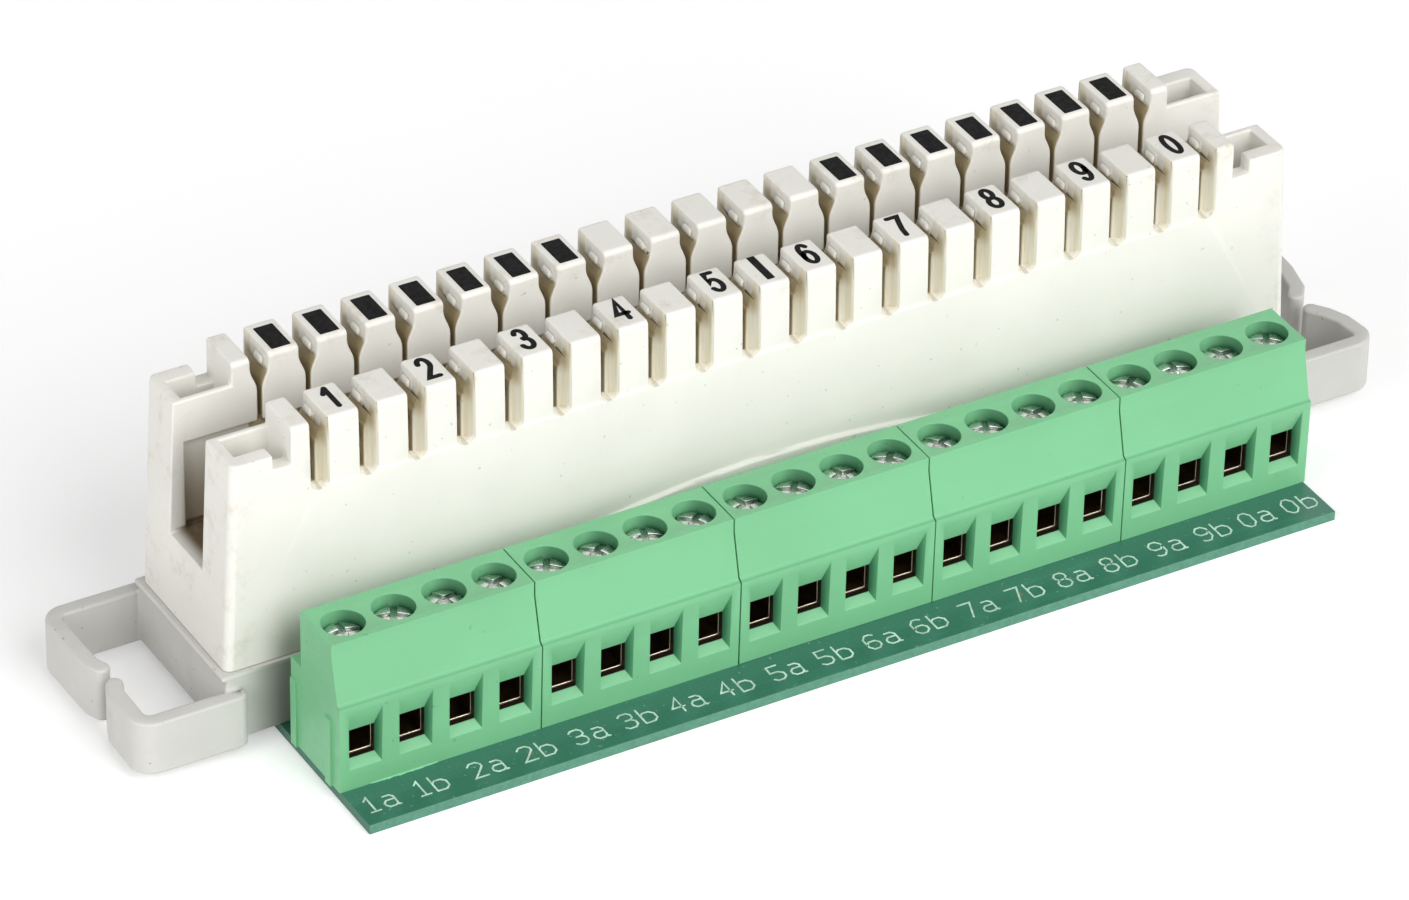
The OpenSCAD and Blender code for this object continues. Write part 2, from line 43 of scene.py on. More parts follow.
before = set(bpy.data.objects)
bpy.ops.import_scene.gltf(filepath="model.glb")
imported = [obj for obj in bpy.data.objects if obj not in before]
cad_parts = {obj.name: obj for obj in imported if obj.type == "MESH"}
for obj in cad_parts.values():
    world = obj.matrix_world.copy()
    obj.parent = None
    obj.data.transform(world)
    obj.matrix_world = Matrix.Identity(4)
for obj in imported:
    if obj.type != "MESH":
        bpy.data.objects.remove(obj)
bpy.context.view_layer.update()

MM = 0.001
POLES = 20
BODIES = 5


# ---------------------------------------------------------------- settings


class CameraSettings(PropertyGroup):
    """Where the camera stands and how narrow its view is"""

    lens: FloatProperty(
        name="Lens", description="Focal length in millimetres", default=209.59, min=20.0, max=400.0
    )
    azimuth: FloatProperty(
        name="Azimuth", description="Turn about the upright axis",
        default=math.radians(-30.252), subtype="ANGLE"
    )
    elevation: FloatProperty(
        name="Elevation", description="Angle above the board", default=math.radians(34.485), subtype="ANGLE"
    )
    roll: FloatProperty(
        name="Roll", description="Turn about the view axis", default=math.radians(1.033), subtype="ANGLE"
    )
    distance: FloatProperty(
        name="Distance", description="From the aim point to the camera", default=0.74128, unit="LENGTH"
    )
    aim: FloatVectorProperty(
        name="Aim", description="Point in the middle of the view",
        default=(-0.00641794, -0.00711252, 0.0152535),
        size=3, precision=5, subtype="TRANSLATION"
    )


class StageSettings(PropertyGroup):
    """The floor, the sky and the lamps"""

    floor_size: FloatProperty(
        name="Floor size", description="Side of the square floor", default=4.0, unit="LENGTH"
    )
    floor_colour: FloatVectorProperty(
        name="Floor colour", description="Colour of the floor",
        default=(0.86, 0.86, 0.86), size=3, subtype="COLOR"
    )
    floor_glow: FloatProperty(
        name="Floor glow", description="Brightness added to the floor as seen, so that it reads as white",
        default=0.3
    )
    sky_strength: FloatProperty(
        name="Sky strength", description="Brightness of the sky as a light", default=0.31
    )
    key_power: FloatProperty(
        name="Key power", description="Power of the main lamp", default=8.3, unit="POWER"
    )
    fill_power: FloatProperty(
        name="Fill power", description="Power of the left-hand lamp", default=5.4, unit="POWER"
    )
    side_power: FloatProperty(
        name="Side power", description="Power of the right-hand lamp", default=2.6, unit="POWER"
    )
    low_power: FloatProperty(
        name="Low power", description="Power of the low front lamp", default=0.8, unit="POWER"
    )


class FinishSettings(PropertyGroup):
    """Colours of the mouldings, the board and the metals, and the rounding of their edges"""

    housing_colour: FloatVectorProperty(
        name="Housing", description="Cream moulding", default=(0.825, 0.81, 0.755), size=3, subtype="COLOR"
    )
    base_colour: FloatVectorProperty(
        name="Base", description="Warm grey moulding", default=(0.60, 0.59, 0.56), size=3, subtype="COLOR"
    )
    terminal_colour: FloatVectorProperty(
        name="Terminals", description="Light green moulding",
        default=(0.182, 0.495, 0.255), size=3, subtype="COLOR"
    )
    mask_colour: FloatVectorProperty(
        name="Solder mask", description="Board's coating",
        default=(0.042, 0.175, 0.118), size=3, subtype="COLOR"
    )
    core_colour: FloatVectorProperty(
        name="Board core", description="Cut edge of the board",
        default=(0.085, 0.25, 0.17), size=3, subtype="COLOR"
    )
    zinc_colour: FloatVectorProperty(
        name="Screws", description="Zinc plate", default=(0.66, 0.68, 0.66), size=3, subtype="COLOR"
    )
    brass_colour: FloatVectorProperty(
        name="Clamps", description="Brass", default=(0.72, 0.58, 0.33), size=3, subtype="COLOR"
    )
    silver_colour: FloatVectorProperty(
        name="Contacts", description="Silvered brass", default=(0.66, 0.62, 0.54), size=3, subtype="COLOR"
    )
    tin_colour: FloatVectorProperty(
        name="Pins and solder", description="Tin", default=(0.66, 0.67, 0.66), size=3, subtype="COLOR"
    )
    housing_edge: FloatProperty(
        name="Housing edges", description="Rounding of the housing's edges",
        default=0.2 * MM, precision=5, unit="LENGTH"
    )
    base_edge: FloatProperty(
        name="Base edges", description="Rounding of the base's edges",
        default=0.25 * MM, precision=5, unit="LENGTH"
    )
    terminal_edge: FloatProperty(
        name="Terminal edges", description="Rounding of the terminals' edges", default=0.06 * MM, precision=5,
        unit="LENGTH"
    )
    clamp_edge: FloatProperty(
        name="Clamp edges", description="Rounding of the clamps' edges",
        default=0.08 * MM, precision=5, unit="LENGTH"
    )
    screw_edge: FloatProperty(
        name="Screw edges", description="Rounding of the screws' edges",
        default=0.05 * MM, precision=5, unit="LENGTH"
    )
    board_edge: FloatProperty(
        name="Board edges", description="Rounding of the board's edges",
        default=0.06 * MM, precision=5, unit="LENGTH"
    )


class MarkSettings(PropertyGroup):
    """The numbers on the posts and the labels on the board"""

    ink_colour: FloatVectorProperty(
        name="Ink", description="Print on the posts", default=(0.002, 0.002, 0.002), size=3, subtype="COLOR"
    )
    legend_colour: FloatVectorProperty(
        name="Legend", description="Print on the board", default=(0.52, 0.68, 0.58), size=3, subtype="COLOR"
    )
    post_height: FloatProperty(
        name="Number height", description="Height of the numbers on the posts", default=3.0 * MM, precision=5,
        unit="LENGTH"
    )
    post_stroke: FloatProperty(
        name="Number stroke", description="Width of their strokes",
        default=0.52 * MM, precision=5, unit="LENGTH"
    )
    label_height: FloatProperty(
        name="Label height", description="Height of the labels on the board", default=2.15 * MM, precision=5,
        unit="LENGTH"
    )
    label_stroke: FloatProperty(
        name="Label stroke", description="Width of their strokes",
        default=0.18 * MM, precision=5, unit="LENGTH"
    )
    ink_thickness: FloatProperty(
        name="Ink thickness", description="Thickness of the print",
        default=0.02 * MM, precision=6, unit="LENGTH"
    )


class BlockSettings(PropertyGroup):
    """Everything a user would change"""

    camera: PointerProperty(type=CameraSettings)
    stage: PointerProperty(type=StageSettings)
    finish: PointerProperty(type=FinishSettings)
    marks: PointerProperty(type=MarkSettings)


def settings():
    return bpy.context.scene.wiring_block


# ---------------------------------------------------------------- places taken from the frame


def screw_name(pole):
    return f"screw_{pole + 1:02d}"


def clamp_name(pole):
    return f"clamp_{pole + 1:02d}"


def middle(node):
    """The middle of a CAD node's box"""
    low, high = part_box(node)
    return (low + high) / 2


def pole_x(pole):
    return middle(screw_name(pole)).x


def contact_pitch():
    """Distance between neighbouring wire slots"""
    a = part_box("contacts_a")[0].x
    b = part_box("contacts_b")[0].x
    return b - a


def post_x(post):
    """Middle of a post, counted from 0 at the left"""
    return (post - (POLES - 2) / 2) * contact_pitch()


# ---------------------------------------------------------------- meshes


def add_piece(work, name, body, material, replaced=()):
    """Turns a bmesh into a finished piece that rides on a body"""
    mesh = bpy.data.meshes.new(name)
    work.to_mesh(mesh)
    work.free()
    piece = bpy.data.objects.new(name, mesh)
    bpy.context.scene.collection.objects.link(piece)
    mesh.materials.append(material)
    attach(piece, body)
    if replaced:
        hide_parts(*replaced)
    return piece


def shade_smooth(piece, sharp_angle=60.0):
    """Smooth shading that keeps flats flat"""
    for face in piece.data.polygons:
        face.use_smooth = True
    piece.data.set_sharp_from_angle(angle=math.radians(sharp_angle))
    normals = piece.modifiers.new("flat_faces", "WEIGHTED_NORMAL")
    normals.keep_sharp = True
    normals.weight = 80


def sharp_edges(work, angle):
    """The edges whose two faces meet at more than an angle in degrees"""
    return [e for e in work.edges if len(e.link_faces) == 2 and e.calc_face_angle() > math.radians(angle)]


def rounded_copy(node, radius, angle=25.0, segments=2, left_sharp=None):
    """A bmesh copy of a CAD node with its sharp edges rounded, worked in millimetres.
    left_sharp tells from the middle of an edge whether it is left as it is."""
    work = bmesh.new()
    work.from_mesh(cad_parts[node].data)
    bmesh.ops.scale(work, vec=(1 / MM,) * 3, verts=work.verts)
    bmesh.ops.remove_doubles(work, verts=work.verts, dist=0.0005)
    bmesh.ops.dissolve_limit(
        work, angle_limit=math.radians(0.3), use_dissolve_boundaries=False, verts=work.verts,
        edges=work.edges, delimit=set()
    )
    chosen = [
        e for e in sharp_edges(work, angle)
        if left_sharp is None or not left_sharp((e.verts[0].co + e.verts[1].co) / 2)
    ]
    bmesh.ops.bevel(
        work, geom=chosen, offset=radius / MM, offset_type="OFFSET", segments=segments,
        profile=0.5, affect="EDGES", clamp_overlap=False, loop_slide=True
    )
    many_sided = [f for f in work.faces if len(f.verts) > 4]
    bmesh.ops.triangulate(work, faces=many_sided, quad_method="BEAUTY", ngon_method="BEAUTY")
    bmesh.ops.scale(work, vec=(MM,) * 3, verts=work.verts)
    low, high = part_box(node)
    for vert in work.verts:
        vert.co = [min(max(value, least), most) for value, least, most in zip(vert.co, low, high)]
    return work


def add_shell(node, name, body, slot, material, radius, **rounding):
    """Makes a rounded copy of a CAD node and puts it in the node's place"""
    piece = add_piece(rounded_copy(node, radius, **rounding), name, body, material, (node,))
    shade_smooth(piece)


# ---------------------------------------------------------------- strokes for numbers and letters


def arc(cx, cy, rx, ry, start, end, steps=14):
    """Points along part of an ellipse, angles in degrees"""
    points = []
    for step in range(steps + 1):
        angle = math.radians(start + (end - start) * step / steps)
        points.append((cx + rx * math.cos(angle), cy + ry * math.sin(angle)))
    return points


# Each glyph is a width and its strokes, drawn on a line height of 1
GLYPHS = {
    "0": (0.56, [arc(0.28, 0.5, 0.28, 0.5, 0, 360, 28)]),
    "1": (0.30, [[(0.26, 1.0), (0.26, 0.0)], [(0.0, 0.72), (0.26, 1.0)]]),
    "2": (0.58, [arc(0.28, 0.71, 0.27, 0.29, 170, -38) + [(0.02, 0.0), (0.58, 0.0)]]),
    "3": (0.58, [arc(0.27, 0.74, 0.24, 0.26, 160, -80), arc(0.27, 0.27, 0.29, 0.27, 88, -165)]),
    "4": (0.62, [[(0.46, 0.0), (0.46, 1.0), (0.0, 0.3), (0.62, 0.3)]]),
    "5": (0.58, [[(0.52, 1.0), (0.12, 1.0), (0.05, 0.52)] + arc(0.27, 0.32, 0.29, 0.32, 128, -155)]),
    "6": (0.58, [arc(0.30, 0.62, 0.27, 0.38, 42, 180) + arc(0.30, 0.31, 0.27, 0.31, 180, 540, 24)]),
    "7": (0.56, [[(0.0, 1.0), (0.56, 1.0), (0.36, 0.6), (0.24, 0.3), (0.19, 0.0)]]),
    "8": (0.58, [arc(0.29, 0.75, 0.24, 0.25, 0, 360, 24), arc(0.29, 0.26, 0.29, 0.26, 0, 360, 24)]),
    "9": (0.58, [arc(0.28, 0.38, 0.27, 0.38, -138, 0) + arc(0.28, 0.69, 0.27, 0.31, 0, 360, 24)]),
}
# The board's legend is drawn with straighter strokes
LEGEND = {
    "0": (0.62, [[(0.2, 0.0), (0.42, 0.0), (0.62, 0.24), (0.62, 0.76), (0.42, 1.0), (0.2, 1.0), (0.0, 0.76),
                  (0.0, 0.24), (0.2, 0.0)]]),
    "1": (0.46, [[(0.03, 0.8), (0.23, 1.0), (0.23, 0.0)], [(0.0, 0.0), (0.46, 0.0)]]),
    "2": (0.62, [[(0.0, 0.84), (0.16, 1.0), (0.46, 1.0), (0.62, 0.84), (0.62, 0.66), (0.0, 0.0),
                  (0.62, 0.0)]]),
    "3": (0.62, [[(0.0, 0.88), (0.14, 1.0), (0.46, 1.0), (0.6, 0.86), (0.6, 0.66), (0.46, 0.54), (0.2, 0.54)],
                 [(0.46, 0.54), (0.62, 0.38), (0.62, 0.16), (0.46, 0.0), (0.14, 0.0), (0.0, 0.12)]]),
    "4": (0.62, [[(0.46, 0.0), (0.46, 1.0), (0.0, 0.34), (0.62, 0.34)]]),
    "5": (0.62, [[(0.56, 1.0), (0.06, 1.0), (0.03, 0.56), (0.4, 0.56), (0.62, 0.4), (0.62, 0.16), (0.44, 0.0),
                  (0.16, 0.0), (0.0, 0.12)]]),
    "6": (0.62, [[(0.56, 0.92), (0.42, 1.0), (0.2, 1.0), (0.0, 0.76), (0.0, 0.2), (0.18, 0.0), (0.44, 0.0),
                  (0.62, 0.18), (0.62, 0.38), (0.46, 0.54), (0.16, 0.54), (0.0, 0.36)]]),
    "7": (0.62, [[(0.0, 1.0), (0.62, 1.0), (0.24, 0.0)]]),
    "8": (0.62, [[(0.18, 0.54), (0.04, 0.68), (0.04, 0.86), (0.18, 1.0), (0.44, 1.0), (0.58, 0.86),
                  (0.58, 0.68), (0.44, 0.54), (0.18, 0.54), (0.0, 0.38), (0.0, 0.16), (0.18, 0.0),
                  (0.44, 0.0), (0.62, 0.16), (0.62, 0.38), (0.44, 0.54)]]),
    "9": (0.62, [[(0.06, 0.08), (0.2, 0.0), (0.42, 0.0), (0.62, 0.24), (0.62, 0.8), (0.44, 1.0), (0.18, 1.0),
                  (0.0, 0.82), (0.0, 0.62), (0.16, 0.46), (0.46, 0.46), (0.62, 0.64)]]),
    "a": (0.65, [[(0.12, 0.74), (0.42, 0.74), (0.56, 0.6), (0.56, 0.0)],
                 [(0.56, 0.44), (0.14, 0.44), (0.0, 0.3), (0.0, 0.14), (0.14, 0.0), (0.42, 0.0),
                  (0.56, 0.12)],
                 [(0.56, 0.02), (0.65, 0.0)]]),
    "b": (0.65, [[(0.0, 1.0), (0.0, 0.0)],
                 [(0.0, 0.54), (0.16, 0.68), (0.46, 0.68), (0.65, 0.5), (0.65, 0.18), (0.46, 0.0),
                  (0.0, 0.0)]]),
}


def cap_points(tip, direction, half):
    """A round end on a stroke, from its right side to its left"""
    start = math.atan2(direction.y, direction.x) - math.pi / 2
    steps = 6
    return [
        tip + half * Vector((math.cos(start + math.pi * k / steps), math.sin(start + math.pi * k / steps)))
        for k in range(steps + 1)
    ]


def stroke_outline(points, width):
    """The outline of a stroke with mitred bends and round ends"""
    path = [Vector(p) for p in points]
    half = width / 2
    right, left = [], []
    for k in range(1, len(path) - 1):
        before = (path[k] - path[k - 1]).normalized()
        after = (path[k + 1] - path[k]).normalized()
        bisector = (before + after).normalized()
        reach = half / max(0.4, bisector.dot(before))
        side = Vector((bisector.y, -bisector.x)) * reach
        right.append(path[k] + side)
        left.append(path[k] - side)
    first = (path[1] - path[0]).normalized()
    last = (path[-1] - path[-2]).normalized()
    return path, right, left, first, last, half


def add_stroke(work, points, width, place, thickness):
    """Adds one stroke as a thin raised band. place turns its flat points into points on the part."""
    path, right, left, first, last, half = stroke_outline(points, width)
    first_side = Vector((first.y, -first.x)) * half
    last_side = Vector((last.y, -last.x)) * half
    closed = (path[0] - path[-1]).length < 1e-9
    if closed:
        bisector = (first + last).normalized()
        side = Vector((bisector.y, -bisector.x)) * half / max(0.4, bisector.dot(first))
        first_side = last_side = side
    rights = [path[0] + first_side] + right + [path[-1] + last_side]
    lefts = [path[0] - first_side] + left + [path[-1] - last_side]
    top = [[work.verts.new(place(p, thickness)) for p in side] for side in (rights, lefts)]
    foot = [[work.verts.new(place(p, 0.0)) for p in side] for side in (rights, lefts)]
    for k in range(len(path) - 1):
        work.faces.new((top[0][k], top[0][k + 1], top[1][k + 1], top[1][k]))
        work.faces.new((foot[0][k + 1], foot[0][k], foot[1][k], foot[1][k + 1]))
        work.faces.new((foot[0][k], foot[0][k + 1], top[0][k + 1], top[0][k]))
        work.faces.new((foot[1][k + 1], foot[1][k], top[1][k], top[1][k + 1]))
    if closed:
        return
    for tip, side, ends in ((path[0], -first, 0), (path[-1], last, -1)):
        rim = cap_points(tip, side, half)
        upper = [work.verts.new(place(p, thickness)) for p in rim[1:-1]]
        lower = [work.verts.new(place(p, 0.0)) for p in rim[1:-1]]
        near, far = (top[0][ends], top[1][ends]) if ends == -1 else (top[1][ends], top[0][ends])
        low_near, low_far = (foot[0][ends], foot[1][ends]) if ends == -1 else (foot[1][ends], foot[0][ends])
        ring = [near] + upper + [far]
        low_ring = [low_near] + lower + [low_far]
        work.faces.new(ring)
        work.faces.new(list(reversed(low_ring)))
        for k in range(len(ring) - 1):
            work.faces.new((low_ring[k], low_ring[k + 1], ring[k + 1], ring[k]))


def add_text(work, text, glyphs, middle_x, low_y, z, height, stroke, thickness, gap=0.3, squeeze=1.0):
    """Adds a short text with its middle at middle_x and its foot at low_y, read from the front"""
    widths = [glyphs[letter][0] * squeeze for letter in text]
    total = sum(widths) + gap * (len(text) - 1)
    start = middle_x - total * height / 2
    for letter, width in zip(text, widths):
        for number, points in enumerate(glyphs[letter][1]):
            # each stroke is a hair thicker than the last, so that no two tops lie in one plane
            lift = thickness * (1 + 0.1 * number)
            add_stroke(
                work,
                [(start + x * squeeze * height, low_y + y * height) for x, y in points],
                stroke,
                lambda p, rise: (p.x, p.y, z + rise),
                lift,
            )
        start += (width + gap) * height


def add_bar(work, centre, size, z, thickness):
    """Adds a printed rectangle with slightly rounded corners"""
    corner = min(size) * 0.06
    half_x, half_y = size[0] / 2, size[1] / 2
    rim = []
    for sx, sy, start in ((1, 1, 0), (-1, 1, 90), (-1, -1, 180), (1, -1, 270)):
        rim += arc(centre[0] + sx * (half_x - corner), centre[1] + sy * (half_y - corner), corner, corner,
                   start, start + 90, 3)
    upper = [work.verts.new((x, y, z + thickness)) for x, y in rim]
    lower = [work.verts.new((x, y, z)) for x, y in rim]
    work.faces.new(upper)
    work.faces.new(list(reversed(lower)))
    for k in range(len(rim)):
        after = (k + 1) % len(rim)
        work.faces.new((lower[k], lower[after], upper[after], upper[k]))


# ---------------------------------------------------------------- materials


class Recipe:
    """A short way to build a material's nodes"""

    def __init__(self, name, roughness, metallic=0.0, specular=0.5):
        self.material = bpy.data.materials.new(name)
        self.material.use_nodes = True
        self.tree = self.material.node_tree
        self.tree.nodes.clear()
        self.output = self.add("ShaderNodeOutputMaterial")
        self.surface = self.add("ShaderNodeBsdfPrincipled")
        self.surface.inputs["Roughness"].default_value = roughness
        self.surface.inputs["Metallic"].default_value = metallic
        self.surface.inputs["Specular IOR Level"].default_value = specular
        self.link(self.surface.outputs["BSDF"], self.output.inputs["Surface"])
        self.place = self.add("ShaderNodeTexCoord").outputs["Object"]

    def add(self, kind):
        return self.tree.nodes.new(kind)

    def link(self, source, target):
        self.tree.links.new(source, target)

    def stretched(self, scale):
        """The place with each axis scaled by its own amount"""
        mapping = self.add("ShaderNodeMapping")
        mapping.inputs["Scale"].default_value = scale
        self.link(self.place, mapping.inputs["Vector"])
        return mapping.outputs["Vector"]

    def noise(self, scale, detail=3.0, roughness=0.55, vector=None):
        """Noise whose grain is 1 / scale metres"""
        node = self.add("ShaderNodeTexNoise")
        node.inputs["Scale"].default_value = scale
        node.inputs["Detail"].default_value = detail
        node.inputs["Roughness"].default_value = roughness
        self.link(vector or self.place, node.inputs["Vector"])
        return node.outputs["Fac"]

    def ramp(self, value, low, high, from_value=0.0, to_value=1.0):
        """Maps value between low and high to a smooth step"""
        node = self.add("ShaderNodeMapRange")
        node.interpolation_type = "SMOOTHSTEP"
        node.inputs["From Min"].default_value = low
        node.inputs["From Max"].default_value = high
        node.inputs["To Min"].default_value = from_value
        node.inputs["To Max"].default_value = to_value
        self.link(value, node.inputs["Value"])
        return node.outputs["Result"]

    def math(self, operation, a, b=None):
        node = self.add("ShaderNodeMath")
        node.operation = operation
        for socket, value in zip(node.inputs, (a, b)):
            if value is None:
                continue
            if isinstance(value, (int, float)):
                socket.default_value = value
            else:
                self.link(value, socket)
        return node.outputs["Value"]

    def all_of(self, *masks):
        """1 only where every mask is 1"""
        total = masks[0]
        for mask in masks[1:]:
            total = self.math("MULTIPLY", total, mask)
        return total

    def step(self, place, start, full):
        """A mask that is 0 at start and 1 at full, both in millimetres along place"""
        return self.ramp(place, start * MM, full * MM)

    def within(self, places, reach):
        """A mask from a list of (name of a place, start, full)"""
        return self.all_of(*(self.step(places[name], start, full) for name, start, full in reach))

    def stain(self, tone, mask, strength, colour):
        """Lays a colour over a tone where a mask is 1"""
        return self.mix(self.math("MULTIPLY", mask, strength), tone, colour)

    def axes(self, vector=None):
        node = self.add("ShaderNodeSeparateXYZ")
        self.link(vector or self.place, node.inputs["Vector"])
        return node.outputs

    def normal_axes(self):
        return self.axes(self.add("ShaderNodeNewGeometry").outputs["Normal"])

    def mix(self, factor, a, b):
        """Mixes two colours, each a tuple or a socket"""
        node = self.add("ShaderNodeMix")
        node.data_type = "RGBA"
        if isinstance(factor, (int, float)):
            node.inputs["Factor"].default_value = factor
        else:
            self.link(factor, node.inputs["Factor"])
        for socket, colour in ((node.inputs[6], a), (node.inputs[7], b)):
            if isinstance(colour, (tuple, list)):
                socket.default_value = (*colour[:3], 1.0)
            else:
                self.link(colour, socket)
        return node.outputs[2]

    def colour(self, socket):
        self.link(socket, self.surface.inputs["Base Color"])

    def rough(self, socket):
        self.link(socket, self.surface.inputs["Roughness"])

    def bump(self, height, strength, distance):
        node = self.add("ShaderNodeBump")
        node.inputs["Strength"].default_value = strength
        node.inputs["Distance"].default_value = distance
        self.link(height, node.inputs["Height"])
        self.link(node.outputs["Normal"], self.surface.inputs["Normal"])


def shade(colour, factor):
    return tuple(min(1.0, c * factor) for c in colour)


def tinted(colour, tint):
    return tuple(c * t for c, t in zip(colour, tint))


def moulded(recipe, colour, cloud=0.06, speck=0.5, grain=1.0):
    """Common moulded plastic: cloudy tone, fine grain, scuffs and sparse dirt specks"""
    clouds = recipe.ramp(recipe.noise(70 * grain), 0.35, 0.65)
    tone = recipe.mix(clouds, shade(colour, 1 - cloud), shade(colour, 1 + cloud / 2))
    specks = recipe.ramp(recipe.noise(1500 * grain, 1.0), 0.76, 0.80, 0.0, speck)
    return recipe.mix(specks, tone, shade(colour, 0.35))


# Painted shade and grime on the housing, in the order laid: their strength, their tint and how far they
# reach.
# Each reach names a place, where the mark starts and where it is full, in millimetres. "off" is the
# distance from the nearest slot, and "across" and "deep" are the distances from the middle along X and Y.
ROW = ("across", 48.75, 48.6)
GROOVE = (ROW, ("off", 0.97, 0.93), ("deep", 6.7, 6.9), ("deep", 8.3, 8.24), ("z", 24.4, 24.8))
HOUSING_SHADE_AND_GRIME = {
    # painted shade: tan on the slots' sides below the nubs
    "under the nubs": (0.75, (0.52, 0.42, 0.24), (
        ROW, ("off", 0.95, 0.85), ("deep", 6.6, 6.8), ("deep", 8.2, 7.2), ("z", 28.2, 29.8),
        ("z", 31.3, 30.7))),
    # painted shade: tan deeper inside the slots
    "inside the slots": (0.9, (0.46, 0.37, 0.2), (
        ROW, ("off", 0.9, 0.8), ("deep", 3.15, 3.4), ("deep", 6.8, 6.7), ("z", 31.0, 29.8))),
    # painted shade: the trough's walls darken towards its floor
    "on the trough's walls": (0.8, (0.42, 0.34, 0.22), (
        ("deep", 4.1, 3.95), ("across", 54.2, 53.2), ("z", 27.0, 16.6))),
    # painted shade: the trough's floor dark brown
    "on the trough's floor": (1.0, (0.18, 0.13, 0.08), (
        ("deep", 4.1, 3.95), ("z", 16.6, 16.2), ("across", 55.0, 53.4))),
    "where the housing stands on the base": (0.7, (0.3, 0.25, 0.2), (("z", 8.16, 8.06),)),
    # painted shade and grime, grey-green, on the wall in the gap behind the terminals
    "in the gap behind the terminals": (0.6, (0.35, 0.37, 0.3), (
        ("across", 52.5, 49.0), ("y", -8.2, -8.28), ("z", 13.0, 9.0))),
}
# How far the scuffs on the tops, the scuffs at the ends and the nicks reach
TOPS = ("z", 29.2, 31.9)
ENDS = ("across", 51.0, 55.0)
NICKED = (("z", 29.4, 29.9), ("across", 46.6, 47.2))


def housing_plastic():
    """The cream moulding with its painted shade, grime, scuffs and nicks"""
    colour = tuple(settings().finish.housing_colour)
    recipe = Recipe("housing_plastic", 0.46, specular=0.38)
    tone = moulded(recipe, colour, 0.03, 0.35)
    x, y, z = recipe.axes()
    pitch = contact_pitch()
    turns = recipe.math("FRACT", recipe.math("DIVIDE", x, pitch))
    places = {
        "y": y,
        "z": z,
        "across": recipe.math("ABSOLUTE", x),
        "deep": recipe.math("ABSOLUTE", y),
        "off": recipe.math("MULTIPLY", recipe.math("ABSOLUTE", recipe.math("SUBTRACT", turns, 0.5)), pitch),
    }
    # painted shade: the outer grooves are faintly tan, uneven in upright streaks
    streak = recipe.ramp(recipe.noise(1, 3.0, 0.6, recipe.stretched((2600, 2600, 120))), 0.35, 0.7, 0.25, 1.0)
    tone = recipe.stain(tone, recipe.within(places, GROOVE), streak, tinted(colour, (0.9, 0.85, 0.68)))
    for strength, tint, reach in HOUSING_SHADE_AND_GRIME.values():
        tone = recipe.stain(tone, recipe.within(places, reach), strength, tinted(colour, tint))
    scuff = recipe.ramp(recipe.noise(330, 6.0, 0.75), 0.5, 0.72, 0.0, 0.5)
    handled = recipe.math("MAXIMUM", recipe.within(places, (TOPS,)), recipe.within(places, (ENDS,)))
    tone = recipe.stain(tone, handled, scuff, tinted(colour, (0.72, 0.65, 0.55)))
    nick = recipe.ramp(recipe.noise(1900, 2.0, 0.6), 0.7, 0.76, 0.0, 0.6)
    tone = recipe.stain(tone, recipe.within(places, NICKED), nick, tinted(colour, (0.5, 0.36, 0.26)))
    recipe.colour(tone)
    recipe.rough(recipe.ramp(recipe.noise(900, 4.0), 0.3, 0.7, 0.42, 0.56))
    recipe.bump(recipe.noise(5200, 2.0), 0.12, 0.03 * MM)
    return recipe.material


# How far the painted shade on the base's front wall reaches, in millimetres
BASE_GAP_SHADE = (("across", 54.8, 50.5), ("y", -8.6, -8.7), ("y", -9.3, -9.2))


def base_plastic():
    """The warm grey moulding, with painted shade in the gap behind the terminals"""
    colour = tuple(settings().finish.base_colour)
    recipe = Recipe("base_plastic", 0.45, specular=0.45)
    tone = moulded(recipe, colour, 0.04, 0.65, 1.3)
    scuff = recipe.ramp(recipe.noise(320, 6.0, 0.7), 0.58, 0.72, 0.0, 0.25)
    tone = recipe.mix(scuff, tone, tinted(colour, (0.8, 0.78, 0.72)))
    x, y, _ = recipe.axes()
    places = {"across": recipe.math("ABSOLUTE", x), "y": y}
    # painted shade, tinted green, on the front wall in the gap behind the terminals
    recipe.colour(recipe.stain(tone, recipe.within(places, BASE_GAP_SHADE), 0.8, tinted(colour, (0.25, 0.3, 0.25))))
    recipe.rough(recipe.ramp(recipe.noise(800, 4.0), 0.3, 0.7, 0.38, 0.52))
    recipe.bump(recipe.noise(4200, 2.0), 0.15, 0.03 * MM)
    return recipe.material


# Where the painted shade on the terminal bodies lies, in millimetres. "off" is the distance from the nearest
# pole,
# "inward" the distance from the bodies' front and "from_well" the distance from the line of the screws.
CHAMBER = (("off", 2.05, 2.0), ("inward", 0.96, 1.0), ("inward", 7.3, 7.2), ("z", 12.2, 12.0))
FUNNEL = (("off", 1.8, 1.75), ("inward", 1.1, 1.0), ("z", 9.6, 9.3))
WELL = (("off", 2.08, 2.02), ("from_well", 2.08, 2.02), ("z", 16.12, 16.0), ("z", 12.3, 12.5))
CREASE = (("z", 10.04, 10.1), ("z", 10.3, 10.2), ("inward", 0.6, 0.5))
WELL_DEPTH = (16.1, 14.6)


